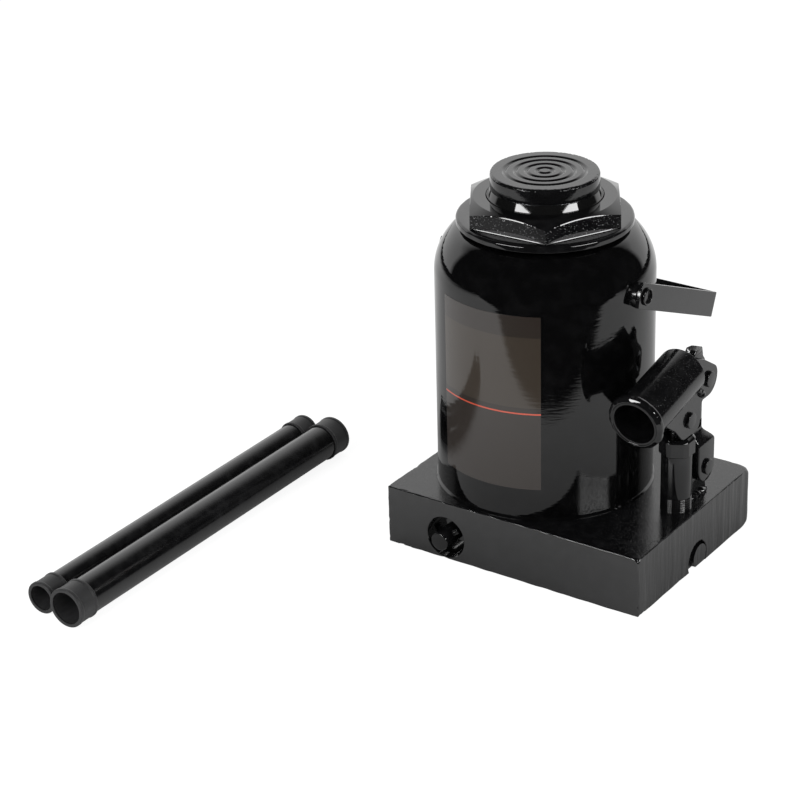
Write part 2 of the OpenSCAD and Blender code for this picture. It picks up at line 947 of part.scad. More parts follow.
module release_seal() {
    color(rubber)
        difference() {
            bar_y(stem_groove_y, stem_groove_y + 2 * seal_minor_r, [release_x, release_z], stem_r + 0.04);
            bar_y(stem_groove_y - 1, stem_groove_y + 3 * seal_minor_r, [release_x, release_z],
                stem_r - 2 * seal_minor_r);
        }
}

module suction_ball() {
    color(bright_steel)
        translate([suction_x, suction_y, suction_ball_z])
            sphere(suction_ball_r);
}

module delivery_ball() {
    color(bright_steel)
        translate([delivery_ball_x, plug_y, delivery_z])
            sphere(delivery_ball_r);
}

// Springs inside the base, drawn as sleeves of their outer size.
module delivery_spring() {
    color(steel)
        difference() {
            bar_x(delivery_end_x + 12, delivery_ball_x - delivery_ball_r, [plug_y, delivery_z],
                delivery_r - 0.2);
            bar_x(delivery_end_x, delivery_ball_x, [plug_y, delivery_z], delivery_r - 0.2 - spring_wire);
        }
}

// Sealing plug: a threaded stem, and a broad head off its centre that ends above the floor.
module delivery_plug() {
    color(enamel) {
        bar_x(plug_end_x, plug_floor_x + 1, [plug_y, delivery_z], plug_thread_r);
        difference() {
            bar_x(plug_floor_x, plug_head_x, plug_head, plug_head_r);
            translate([plug_floor_x - 1, plug_head[0] - plug_head_r, -plug_head_r])
                cube([plug_head_x - plug_floor_x + 2, 2 * plug_head_r, plug_head_r + plug_lift]);
        }
    }
}

module overload_ball() {
    color(bright_steel)
        translate([overload_x, 0, overload_ball_z])
            sphere(overload_ball_r);
}

module overload_spring() {
    color(steel)
        ring_z(overload_ball_z + overload_ball_r, base_height - 9, [overload_x, 0],
            overload_r - 0.4, overload_r - 0.4 - spring_wire);
}

module overload_screw() {
    color(steel)
        difference() {
            bar_z(base_height - 9, base_height - 2, [overload_x, 0], overload_r);
            translate([overload_x - overload_r, -0.7, base_height - 4])
                cube([2 * overload_r, 1.4, 3]);
        }
}

// Push-in plug: a head shaped to the tank, a neck through its wall and a lip inside.
module filler_plug() {
    color(rubber)
        rotate([0, 0, filler_angle]) {
            difference() {
                bar_x(tank_r - 4, tank_r + filler_head_h, [0, filler_z], filler_head_r);
                tank_form();
            }
            bar_x(tank_inner - 4, tank_r + filler_head_h, [0, filler_z], filler_r);
        }
}

module label() {
    color(paper)
        rotate([0, 0, label_middle - label_angle / 2])
            rotate_extrude(angle = label_angle)
                translate([tank_r + label_gap, label_z])
                    square([label_thick, label_h]);
}

// Handle tube along Y that lies on its caps, from its far end towards -Y.
module handle_tube(x, length, r) {
    z = r + cap_wall;
    color(enamel)
        difference() {
            bar_y(handle_far_y - length + cap_wall, handle_far_y - cap_wall, [x, z], r);
            bar_y(handle_far_y - length, handle_far_y, [x, z], r - handle_wall);
        }
}

// Two open end caps on a handle tube.
module handle_caps(x, length, r) {
    z = r + cap_wall;
    color(plastic)
        for (near_y = [handle_far_y - length, handle_far_y - cap_length])
            difference() {
                bar_y(near_y, near_y + cap_length, [x, z], r + cap_wall);
                bar_y(near_y - 1, near_y + cap_length + 1, [x, z], r - handle_wall);
                bar_y(handle_far_y - length + cap_wall, handle_far_y - cap_wall, [x, z], r);
            }
}

module handle_tube_large() {
    handle_tube(large_x, large_length, large_r);
}

module handle_caps_large() {
    handle_caps(large_x, large_length, large_r);
}

module handle_tube_small() {
    handle_tube(small_x, small_length, small_r);
}

module handle_caps_small() {
    handle_caps(small_x, small_length, small_r);
}

base_block();
link_lug();
tank_shell();
tank_gasket_lower();
tank_gasket_upper();
pressure_cylinder();
cylinder_gasket();
cover_ring();
gland_nut();
gland_seal();
wiper_seal();
ram();
piston_seal();
saddle();
pump_cylinder();
pump_washer();
pump_packing();
plunger();
plunger_seal();
link();
socket_tube();
socket_rim();
lever_cheek_near();
lever_cheek_far();
plunger_pin();
link_pin();
base_pin();
lever_pin_clips();
base_pin_clip();
carry_strap();
strap_bosses();
strap_screws();
release_stem();
release_cross_pin();
release_ball();
release_seal();
suction_ball();
delivery_ball();
delivery_spring();
delivery_plug();
overload_ball();
overload_spring();
overload_screw();
filler_plug();
label();
handle_tube_large();
handle_caps_large();
handle_tube_small();
handle_caps_small();
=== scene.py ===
# %% [markdown]
# # A hydraulic bottle jack in black enamel
# The jack is a thick square base with a round oil tank on it, a hand pump at one end and a handle in two
# halves beside it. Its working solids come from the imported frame, in metres. Each cell below makes one
# piece again with the rounded edges, weld beads and paint that the eye expects, in the very place of its
# solid, so nothing has to be fitted afterwards.

# %% Load the frame
import json
import math

import bmesh
import bpy
import numpy as np
from mathutils import Matrix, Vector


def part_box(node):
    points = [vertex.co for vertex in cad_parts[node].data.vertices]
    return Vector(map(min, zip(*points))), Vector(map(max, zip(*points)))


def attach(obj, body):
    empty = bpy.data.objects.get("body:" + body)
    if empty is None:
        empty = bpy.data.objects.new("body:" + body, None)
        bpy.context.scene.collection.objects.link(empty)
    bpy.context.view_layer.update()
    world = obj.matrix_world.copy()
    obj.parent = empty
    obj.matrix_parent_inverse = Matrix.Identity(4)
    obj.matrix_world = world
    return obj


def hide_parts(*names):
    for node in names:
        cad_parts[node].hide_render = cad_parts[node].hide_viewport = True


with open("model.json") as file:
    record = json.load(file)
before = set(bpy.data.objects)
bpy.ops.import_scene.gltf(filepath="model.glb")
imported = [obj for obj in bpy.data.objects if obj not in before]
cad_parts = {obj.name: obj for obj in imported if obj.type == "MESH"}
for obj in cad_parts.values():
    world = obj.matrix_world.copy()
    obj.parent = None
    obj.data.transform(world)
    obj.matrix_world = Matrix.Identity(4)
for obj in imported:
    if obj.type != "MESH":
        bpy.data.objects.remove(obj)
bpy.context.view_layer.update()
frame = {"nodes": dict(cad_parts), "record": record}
scene = bpy.context.scene
scene.view_settings.view_transform = "Standard"
MM = 0.001

# %% [markdown]
# ## Camera
# The picture was taken from the right of the release valve, a little above the saddle, with a long lens
# that keeps the base's edges nearly parallel. A camera could be aimed by a constraint, but its matrix is
# written out here from the place, the aim and a slight roll, so that every number can be read.

# %% Camera
CAMERA_PLACE = np.array([894.7, -1451.1, 926.55])
CAMERA_AIM = np.array([-82.88, -67.1, 110.0])
CAMERA_ROLL = math.radians(-1.643)
LENS = 116.07


def unit(vector):
    """The vector divided by its own length."""
    return vector / np.linalg.norm(vector, axis=-1, keepdims=True)


def stand(x_axis, y_axis, z_axis, place):
    """Matrix of an object whose own axes point along three directions, at a place in metres."""
    return Matrix(np.column_stack([x_axis, y_axis, z_axis, place]).tolist() + [[0, 0, 0, 1]])


backward = unit(CAMERA_PLACE - CAMERA_AIM)
level = unit(np.cross([0, 0, 1], backward))
upright = np.cross(backward, level)
rightward = math.cos(CAMERA_ROLL) * level + math.sin(CAMERA_ROLL) * upright
upward = math.cos(CAMERA_ROLL) * upright - math.sin(CAMERA_ROLL) * level
camera = bpy.data.objects.new("camera", bpy.data.cameras.new("camera"))
camera.data.lens = LENS
camera.data.clip_end = 20
camera.matrix_world = stand(rightward, upward, backward, CAMERA_PLACE * MM)
scene.collection.objects.link(camera)
scene.camera = camera
to_camera = unit(backward[:2])
to_right = unit(level[:2])
print("camera stands", round(float(np.linalg.norm(CAMERA_PLACE - CAMERA_AIM))), "mm away")

# %% [markdown]
# ## Nodes and colours
# A material is a small tree of nodes. One function adds a node of any kind, sets its options and fills
# its inputs, with a number, a colour or a link from another node. Colours are written as hex values, as a
# paint chart gives them, and turned into the linear light that the renderer adds up.

# %% Helpers for materials
def linear(code):
    """Linear colour of an sRGB hex code: each channel is divided by 12.92 when small, else raised to 2.4."""
    channel = np.array([int(code[k:k + 2], 16) for k in (1, 3, 5)]) / 255
    light = np.where(channel <= 0.04045, channel / 12.92, ((channel + 0.055) / 1.055) ** 2.4)
    return (*light.tolist(), 1.0)


def add(tree, kind, inputs=None, **settings):
    """Adds a shader node of that kind with its settings, and gives each named input a value or a link."""
    node = tree.nodes.new("ShaderNode" + kind)
    for key, value in settings.items():
        setattr(node, key, value)
    for key, value in (inputs or {}).items():
        if isinstance(value, bpy.types.NodeSocket):
            tree.links.new(value, node.inputs[key])
        else:
            node.inputs[key].default_value = value
    return node.outputs


def blank(name):
    """A new material and its empty tree."""
    material = bpy.data.materials.new(name)
    material.use_nodes = True
    material.node_tree.nodes.clear()
    return material, material.node_tree


def grain(tree, place, size, detail):
    """Noise whose marks have a size in millimetres along X, Y and Z: each axis is divided by its size."""
    spread = add(tree, "Mapping", {"Vector": place, "Scale": [1 / (side * MM) for side in size]})[0]
    return add(tree, "TexNoise", {"Vector": spread, "Scale": 1, "Detail": detail})["Fac"]


print("black as linear light:", [round(v, 4) for v in linear("#0d0d0e")])

# %% [markdown]
# ## Studio
# Gloss black shows almost nothing but its surroundings, so the surroundings are what makes this picture.
# The jack stands on a wide white table with a straight front edge, a white sheet hangs behind it, and the
# room in front is dark. The floor here is one large plane that looks white to the camera. To reflections
# it is white only as far as the table goes, which draws the dark patch on the tank's upper half, and it
# is brightest at the back, near the sheet. Most of that white is light that falls on it, so it is darker
# under the handles, in reflections too. In reflections the white is also painted darker close round the
# jack, and most of all in the corner behind the tank and the pump: a painted shade set by distance.

# %% Floor
FLOOR_HALF = 4.0

floor_mesh = bpy.data.meshes.new("floor")
corners = FLOOR_HALF * np.array([[-1, -1, 0], [1, -1, 0], [1, 1, 0], [-1, 1, 0]])
floor_mesh.from_pydata(corners.tolist(), [], [[0, 1, 2, 3]])
floor = bpy.data.objects.new("floor", floor_mesh)
scene.collection.objects.link(floor)
print("floor:", 2 * FLOOR_HALF, "m wide")

# %% Where the table is
TABLE_FRONT, TABLE_EDGE = 0.352, 0.012
TABLE_SIDE, SIDE_EDGE = 1.1, 0.25

floor_paint, tree = blank("white_table")
ray = add(tree, "LightPath")
mirrored = add(tree, "Math", {0: ray["Is Glossy Ray"], 1: ray["Is Transmission Ray"]}, operation="MAXIMUM")[0]
place = add(tree, "TexCoord")["Object"]
front = add(tree, "VectorMath", {0: place, 1: (*to_camera, 0)}, operation="DOT_PRODUCT")["Value"]
table = add(tree, "MapRange", {"Value": front, "From Min": TABLE_FRONT - TABLE_EDGE,
                               "From Max": TABLE_FRONT + TABLE_EDGE, "To Min": 1, "To Max": 0})[0]
side = add(tree, "VectorMath", {0: place, 1: (*to_right, 0)}, operation="DOT_PRODUCT")["Value"]
side = add(tree, "Math", {0: side}, operation="ABSOLUTE")[0]
side = add(tree, "MapRange", {"Value": side, "From Min": TABLE_SIDE - SIDE_EDGE,
                              "From Max": TABLE_SIDE + SIDE_EDGE, "To Min": 1, "To Max": 0})[0]
table = add(tree, "Math", {0: table, 1: side}, operation="MULTIPLY")[0]
print("table ends", TABLE_FRONT, "m before the ram")

# %% [markdown]
# The paint of the table adds a white surface, which lamps light and the jack shades, to a weak glow of its
# own. Both have one value for the camera, one for reflections and, for the surface, one for all other rays.

# %% What each ray sees
ROOM_DARK = 0.02
CAMERA_GLOW, CAMERA_WHITE = 0.9, 0.25
MIRROR_GLOW, MIRROR_WHITE = 0.06, 0.85
# Strength, start and reach of the painted shade round the jack and in the corner behind it.
NEAR_PAINTED_SHADE, NEAR_START, NEAR_REACH = 0.45, 0.1, 0.35
CORNER_PAINTED_SHADE, CORNER_START, CORNER_REACH = 0.2, 0.08, 0.18
CORNER_RIGHT, CORNER_BACK = 0.05, 0.14
BACK_GLOW, BACK_START, BACK_END = 0.5, -0.25, -0.8
PLAIN_WHITE = 0.8

back = add(tree, "MapRange", {"Value": front, "From Min": BACK_START, "From Max": BACK_END,
                              "To Max": BACK_GLOW})[0]
mirror_glow = add(tree, "Math", {0: back, 1: MIRROR_GLOW - ROOM_DARK}, operation="ADD")[0]
mirror_glow = add(tree, "Math", {0: table, 1: mirror_glow, 2: ROOM_DARK}, operation="MULTIPLY_ADD")[0]
mirror_glow = add(tree, "Math", {0: mirror_glow, 1: mirrored}, operation="MULTIPLY")[0]
glow = add(tree, "Math", {0: ray["Is Camera Ray"], 1: CAMERA_GLOW, 2: mirror_glow},
           operation="MULTIPLY_ADD")[0]
# Painted shade: the reflected white is darkened close to the jack's middle, and again near a point behind the
# tank and the pump.
near_painted_shade = add(tree, "VectorMath", {0: place}, operation="LENGTH")["Value"]
near_painted_shade = add(tree, "MapRange", {"Value": near_painted_shade, "From Min": NEAR_START, "From Max": NEAR_REACH,
                                  "To Min": NEAR_PAINTED_SHADE * MIRROR_WHITE, "To Max": MIRROR_WHITE})[0]
corner = CORNER_RIGHT * to_right - CORNER_BACK * to_camera
corner = add(tree, "VectorMath", {0: place, 1: (*corner, 0)}, operation="DISTANCE")["Value"]
corner = add(tree, "MapRange", {"Value": corner, "From Min": CORNER_START, "From Max": CORNER_REACH,
                                "To Min": CORNER_PAINTED_SHADE, "To Max": 1})[0]
near_painted_shade = add(tree, "Math", {0: near_painted_shade, 1: corner}, operation="MULTIPLY")[0]
mirror_white = add(tree, "Math", {0: table, 1: near_painted_shade}, operation="MULTIPLY")[0]
white = add(tree, "Mix", {0: mirrored, 2: PLAIN_WHITE, 3: mirror_white}, data_type="FLOAT")[0]
white = add(tree, "Mix", {0: ray["Is Camera Ray"], 2: white, 3: CAMERA_WHITE}, data_type="FLOAT")[0]
lamp_part = add(tree, "BsdfDiffuse", {"Color": white})[0]
glow_part = add(tree, "Emission", {"Strength": glow})[0]
both = add(tree, "AddShader", {0: lamp_part, 1: glow_part})[0]
add(tree, "OutputMaterial", {"Surface": both})
floor_mesh.materials.append(floor_paint)
print("table paint:", len(tree.nodes), "nodes")

# %% [markdown]
# The sky is white to the camera. Reflections see a wide white sheet behind the jack that fades out at its
# top and sides, and a dark room elsewhere. A direction meets the sheet where its sideways and upward parts,
# each divided by its backward part, are small enough. Diffuse surfaces get a plain even level from the sky.

# %% Sheet behind the jack
SHEET_HALF = (1.8, 2.4)
SHEET_TOP = (0.75, 1.5)
SHEET_LEVEL = 1.2
ROOM_LEVEL = 0.5

world = bpy.data.worlds.new("studio")
scene.world = world
world.use_nodes = True
tree = world.node_tree
tree.nodes.clear()
ray = add(tree, "LightPath")
toward = add(tree, "TexCoord")["Generated"]
away = add(tree, "VectorMath", {0: toward, 1: (*-to_camera, 0)}, operation="DOT_PRODUCT")["Value"]
behind = add(tree, "Math", {0: away, 1: 0.0001}, operation="MAXIMUM")[0]
across = add(tree, "VectorMath", {0: toward, 1: (*to_right, 0)}, operation="DOT_PRODUCT")["Value"]
across = add(tree, "Math", {0: across}, operation="ABSOLUTE")[0]
across = add(tree, "Math", {0: across, 1: behind}, operation="DIVIDE")[0]
height = add(tree, "VectorMath", {0: toward, 1: (0, 0, 1)}, operation="DOT_PRODUCT")["Value"]
height = add(tree, "Math", {0: height, 1: behind}, operation="DIVIDE")[0]
in_width = add(tree, "MapRange", {"Value": across, "From Min": SHEET_HALF[0], "From Max": SHEET_HALF[1],
                                  "To Min": 1, "To Max": 0})[0]
in_height = add(tree, "MapRange", {"Value": height, "From Min": SHEET_TOP[0], "From Max": SHEET_TOP[1],
                                   "To Min": 1, "To Max": 0})[0]
sheet = add(tree, "Math", {0: in_width, 1: in_height}, operation="MULTIPLY")[0]
sheet = add(tree, "Math", {0: sheet, 1: SHEET_LEVEL, 2: ROOM_DARK}, operation="MULTIPLY_ADD")[0]
mirrored = add(tree, "Math", {0: ray["Is Glossy Ray"], 1: ray["Is Transmission Ray"]}, operation="MAXIMUM")[0]
level_out = add(tree, "Mix", {0: mirrored, 2: ROOM_LEVEL, 3: sheet}, data_type="FLOAT")[0]
level_out = add(tree, "Math", {0: level_out, 1: ray["Is Camera Ray"]}, operation="MAXIMUM")[0]
sky = add(tree, "Background", {"Color": (1, 1, 1, 1), "Strength": level_out})[0]
add(tree, "OutputWorld", {"Surface": sky})
print("sheet and room:", len(tree.nodes), "nodes")

# %% [markdown]
# Two wide, low softboxes stand left and right of the camera. They give the short bright windows on the
# collar, the cover ring and the socket's rim. A flag keeps them off the tank's shoulder: in Blender that is
# light linking, a list of objects that a lamp leaves out.

# %% Softboxes
SOFTBOX_TURN = 48
SOFTBOX_HEIGHT = 24
SOFTBOX_DISTANCE = 1.35
SOFTBOX_AIM = 0.16
SOFTBOX_SIZE = (0.72, 0.2)
SOFTBOX_POWER = 8.0

flagged = bpy.data.collections.new("kept_off_softboxes")
camera_turn = math.degrees(math.atan2(to_camera[0], -to_camera[1]))
for name, turn in (("softbox_left", -SOFTBOX_TURN), ("softbox_right", SOFTBOX_TURN)):
    lamp = bpy.data.lights.new(name, "AREA")
    lamp.shape = "RECTANGLE"
    lamp.size, lamp.size_y = SOFTBOX_SIZE
    lamp.energy = SOFTBOX_POWER
    holder = bpy.data.objects.new(name, lamp)
    heading, rise = math.radians(camera_turn + turn), math.radians(SOFTBOX_HEIGHT)
    out = np.array([math.sin(heading) * math.cos(rise), -math.cos(heading) * math.cos(rise), math.sin(rise)])
    beside = unit(np.cross([0, 0, 1], out))
    spot = out * SOFTBOX_DISTANCE + [0, 0, SOFTBOX_AIM]
    holder.matrix_world = stand(beside, np.cross(out, beside), out, spot)
    holder.visible_camera = False
    holder.light_linking.receiver_collection = flagged
    scene.collection.objects.link(holder)
print("softboxes:", SOFTBOX_POWER, "W each")

# %% [markdown]
# ## Black enamel
# The jack is sprayed with black gloss enamel over bare steel, so the paint is the same everywhere and
# what differs is the steel under it: turned, rolled, flame cut or forged. The paint could be one material
# with masks. Here one function makes each variety, with layers of noise that stand for the marks below.
# A layer is given by the size of its marks along X, Y and Z and their depth, all in millimetres.

# %% Enamel over marked steel
ENAMEL = linear("#0b0b0c")
ENAMEL_DUSTY = linear("#161617")
DUST_SIZE, DUST_START, DUST_FULL = 9.0, 0.45, 0.75
SPECK_EDGE = 0.08


def enamel(name, marks, sheen=(0.06, 0.12), specks=None, speck_tint_and_glint="#161617", index=1.54):
    """Gloss black paint: noise layers bump it, specks stand up from it in a tint of their own,
    a painted glint where that tint is light, and dust changes colour and gloss.
    """
    material, tree = blank(name)
    place = add(tree, "TexCoord")["Object"]
    shape = {}
    for size, depth in marks:
        relief = grain(tree, place, size, 3)
        shape = {"Normal": add(tree, "Bump", {"Height": relief, "Distance": depth * MM, **shape})[0]}
    grit_and_glint = 0.0
    if specks:
        size, depth, share = specks
        grit_and_glint = add(tree, "TexNoise", {"Vector": place, "Scale": 1 / (size * MM), "Detail": 2})["Fac"]
        grit_and_glint = add(tree, "MapRange", {"Value": grit_and_glint, "From Min": share, "From Max": share + SPECK_EDGE})[0]
        shape = {"Normal": add(tree, "Bump", {"Height": grit_and_glint, "Distance": depth * MM, **shape})[0]}
    dust = add(tree, "TexNoise", {"Vector": place, "Scale": 1 / (DUST_SIZE * MM), "Detail": 6})["Fac"]
    dust = add(tree, "MapRange", {"Value": dust, "From Min": DUST_START, "From Max": DUST_FULL})[0]
    gloss = add(tree, "MapRange", {"Value": dust, "To Min": sheen[0], "To Max": sheen[1]})[0]
    colour = add(tree, "Mix", {0: dust, 6: ENAMEL, 7: ENAMEL_DUSTY}, data_type="RGBA")[2]
    # Speck tint: near black on most coats, light grey as a painted glint on the forged steel.
    colour = add(tree, "Mix", {0: grit_and_glint, 6: colour, 7: linear(speck_tint_and_glint)}, data_type="RGBA")[2]
    paint = add(tree, "BsdfPrincipled", {"Base Color": colour, "Roughness": gloss, "IOR": index, **shape})[0]
    add(tree, "OutputMaterial", {"Surface": paint})
    return material


# Turned steel: fine level rings left by the lathe, which tear the edge of every reflection into steps.
turned_enamel = enamel("enamel_on_turned_steel",
                       [((45, 45, 30), 0.02), ((12, 12, 1.5), 0.04), ((1.5, 1.5, 1.5), 0.002)], (0.03, 0.07),
                       index=1.5)
# Rolled plate: soft waves and a sandy grain, so mirror images are whole but their edges are grainy.
plate_enamel = enamel("enamel_on_rolled_plate", [((30, 30, 30), 0.05), ((1.4, 1.4, 1.4), 0.03)], (0.08, 0.14),
                      specks=(1.1, 0.02, 0.6))
# Top of the plate: a sandier skin, which breaks grazing reflections up.
sandy_enamel = enamel("enamel_on_sandy_plate", [((30, 30, 30), 0.05), ((1.3, 1.3, 1.3), 0.07)], (0.14, 0.22),
                      specks=(1.2, 0.06, 0.6), index=1.5)
# Sides of the base: the same plate under a thicker coat, which mirrors the table more strongly.
thick_enamel = enamel("enamel_in_thick_coat", [((30, 30, 30), 0.05), ((1.4, 1.4, 1.4), 0.03)], (0.08, 0.14),
                      index=1.88)
# Flame-cut edge: upright drag lines where the torch went through the plate, under the same thick coat.
cut_enamel = enamel("enamel_on_flame_cut_steel",
                    [((9, 9, 80), 1.2), ((1.6, 1.6, 24), 0.04), ((1.2, 1.2, 4), 0.012)],
                    (0.1, 0.2), index=1.82)
# Forged steel: dark, with a skin of small hard grains, each tinted light grey as a painted glint.
forged_enamel = enamel("enamel_on_forged_steel", [((3.0, 3.0, 3.0), 0.012)], (0.06, 0.1),
                       specks=(0.75, 0.14, 0.655), speck_tint_and_glint="#c4c4c6", index=1.3)
# Drawn tube and machined steel: nearly perfect, with the paint's own faint orange peel.
smooth_enamel = enamel("enamel_on_drawn_tube", [((6, 6, 6), 0.012), ((1.2, 1.2, 1.2), 0.0025)])
# Handle tube: a thin satin coat whose fine grain blurs the edges of every band of light.
handle_enamel = enamel("enamel_on_welded_tube", [((8, 8, 8), 0.02), ((1.3, 1.3, 1.3), 0.03)], (0.16, 0.24),
                       index=1.5)
# Rough pipe: a dull, uneven coat with a grain that spreads every highlight.
pipe_enamel = enamel("enamel_on_rough_pipe", [((5, 5, 5), 0.05), ((1.2, 1.2, 1.2), 0.03)], (0.14, 0.2),
                     specks=(1.3, 0.04, 0.62))
print("enamels:", len([m for m in bpy.data.materials if m.name.startswith("enamel")]))

# %% [markdown]
# ## The other finishes
# Behind the paint are a ground and polished ram, rubber seals, copper gaskets and moulded end caps. Each
# starts from typical values for its material. The ram's polish runs round it, so its noise is drawn out
# level, and the caps have the dull skin of a soft vinyl moulding.

# %% Steel, rubber, copper and cap material
def finish(name, colours, gloss, marks, metallic=0.0):
    """A material with two shades mixed by the same noise that bumps it and varies its gloss."""
    material, tree = blank(name)
    place = add(tree, "TexCoord")["Object"]
    size, depth = marks
    noise = grain(tree, place, size, 4)
    colour = add(tree, "Mix", {0: noise, 6: linear(colours[0]), 7: linear(colours[1])}, data_type="RGBA")[2]
    rough = add(tree, "MapRange", {"Value": noise, "To Min": gloss[0], "To Max": gloss[1]})[0]
    bump = add(tree, "Bump", {"Height": noise, "Distance": depth * MM})[0]
    body = add(tree, "BsdfPrincipled", {"Base Color": colour, "Roughness": rough, "Metallic": metallic,
                                        "Normal": bump})[0]
    add(tree, "OutputMaterial", {"Surface": body})
    return material


# Ground steel: grey mirror with fine level scratches, drawn coarser than real so that they show.
ground_steel = finish("ground_steel", ("#b9bcc0", "#d3d6d9"), (0.16, 0.34), ((14, 14, 0.5), 0.004), 1.0)
# Nitrile rubber: dull black with a soft edge to its shine.
seal_rubber = finish("nitrile_rubber", ("#101010", "#191919"), (0.45, 0.6), ((1.5, 1.5, 1.5), 0.02))
# Steel of the plunger: nearly black metal.
dark_plunger_steel = finish("dark_plunger_steel", ("#161617", "#222223"), (0.2, 0.35), ((3, 3, 3), 0.01), 1.0)
# Bare inside of a drawn tube: dull grey scale that the paint didn't reach.
tube_scale = finish("mill_scale", ("#222223", "#3a3a3b"), (0.4, 0.6), ((2, 9, 2), 0.2))
# The dust wiper is polished by the ram, so it is nearly as bright as the paint.
wiper_rubber = finish("polished_rubber", ("#0b0b0b", "#121212"), (0.03, 0.07), ((3, 3, 3), 0.004))
# Soft copper sheet: warm metal, scuffed.
gasket_copper = finish("annealed_copper", ("#b06a42", "#c98a5e"), (0.3, 0.45), ((2, 2, 2), 0.02), 1.0)
# Soft vinyl caps: matt dark grey with a fine moulded grain.
cap_vinyl = finish("moulded_soft_vinyl", ("#1f1f20", "#2d2d2e"), (0.42, 0.55), ((1.3, 1.3, 1.3), 0.08))
print("materials so far:", len(bpy.data.materials))

# %% [markdown]
# ## Tools for shapes
# Nearly everything on a jack is turned on a lathe or cut from plate. A turned piece is a profile carried
# round an axis, and a plate is an outline carried along one. Both are grids of points worked out as whole
# arrays. Outlines list only their corners, each with a radius, and a function puts the arcs in. Smooth
# noise from a fixed seed gives the wear and the unevenness of real steel, the same in every run.

# %% Grids, arcs and noise
def quads(rows, columns, loop_rows=False, loop_columns=False):
    """Corner numbers of the faces between neighbours in a grid of points that are numbered row by row."""
    number = np.arange(rows * columns).reshape(rows, columns)
    if loop_rows:
        number = np.vstack([number, number[:1]])
    if loop_columns:
        number = np.hstack([number, number[:, :1]])
    ring = [number[:-1, :-1], number[:-1, 1:], number[1:, 1:], number[1:, :-1]]
    return np.stack(ring, -1).reshape(-1, 4)


def rounded(corners, steps=6, closed=True):
    """Outline through corners (u, v, radius): each corner gives way to an arc that touches both its sides."""
    corners = np.asarray(corners, float)
    point, radius = corners[:, :2], np.maximum(corners[:, 2:], 1e-5)
    before = unit(np.roll(point, 1, 0) - point)
    after = unit(np.roll(point, -1, 0) - point)
    half = np.arccos(np.clip((before * after).sum(1, keepdims=True), -0.99999, 0.99999)) / 2
    centre = point + unit(before + after) * radius / np.sin(half)
    start = point + before * radius / np.tan(half) - centre
    end = point + after * radius / np.tan(half) - centre
    sweep = (np.pi - 2 * half)[:, None]
    along = np.linspace(0, 1, steps)[None, :, None]
    early, late = np.sin((1 - along) * sweep), np.sin(along * sweep)
    arc = (early * start[:, None] + late * end[:, None]) / np.sin(sweep) + centre[:, None]
    if closed:
        return arc.reshape(-1, 2)
    return np.vstack([point[:1], arc[1:-1].reshape(-1, 2), point[-1:]])


def wander(points, size, seed, waves=14):
    """Smooth noise of about -1 to 1: a sum of sine waves of that size, with random headings and phases."""
    random = np.random.default_rng(seed)
    heading = unit(random.normal(size=(waves, 3)))
    length = size * random.uniform(0.7, 1.6, (waves, 1))
    phase = random.uniform(0, 2 * np.pi, waves)
    return np.sin(points @ (heading / length * 2 * np.pi).T + phase).sum(-1) / math.sqrt(waves)


def turned(profile, steps=128, closed=True):
    """Surface of revolution: at angle a and profile point s it is (r(s) cos a, r(s) sin a, z(s)).

    The profile is a list of (r, z), or one such list for every angle, and is a loop if closed.
    """
    profile = np.asarray(profile, float)
    if profile.ndim == 2:
        profile = np.repeat(profile[:, None], steps, 1)
    angle = np.linspace(0, 2 * np.pi, profile.shape[1], endpoint=False)
    radius, height = profile[..., 0], profile[..., 1]
    points = np.stack([radius * np.cos(angle), radius * np.sin(angle), height], -1)
    return points.reshape(-1, 3), quads(*radius.shape, closed, True)


def along(shape, origin, axis):
    """The same shape with its Z axis turned to another axis and its origin moved."""
    points, faces = shape
    axis = unit(np.asarray(axis, float))
    first = unit(np.cross(axis, [0.0, 0.3, 1.0]))
    return points @ np.array([first, np.cross(axis, first), axis]) + origin, faces


print("a square with round corners has", len(rounded([(0, 0, 1), (9, 0, 1), (9, 9, 1), (0, 9, 1)])), "points")

# %% [markdown]
# ## From arrays to a piece
# Every piece ends the same way: its grids become one mesh, doubles are merged so that seams and poles
# close, normals are turned outwards, and edges sharper than a limit stay sharp. A narrow Bevel modifier
# then takes the knife edge off, which is what makes thin bright lines along painted steel.

# %% Finish a piece
def span(node):
    """Lowest and highest corner of a solid in the frame, in millimetres."""
    low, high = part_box(node)
    return np.array(low) / MM, np.array(high) / MM


def clean(mesh):
    """Merges doubles, drops faces without area and turns the normals outwards."""
    work = bmesh.new()
    work.from_mesh(mesh)
    bmesh.ops.remove_doubles(work, verts=work.verts, dist=1e-6)
    bmesh.ops.dissolve_degenerate(work, edges=work.edges, dist=1e-7)
    bmesh.ops.recalc_face_normals(work, faces=work.faces)
    work.to_mesh(mesh)
    work.free()


def smooth(mesh, sharp=35):
    """Shades a mesh smooth, apart from the edges that turn by more than an angle in degrees."""
    mesh.shade_smooth()
    mesh.set_sharp_from_angle(angle=math.radians(sharp))


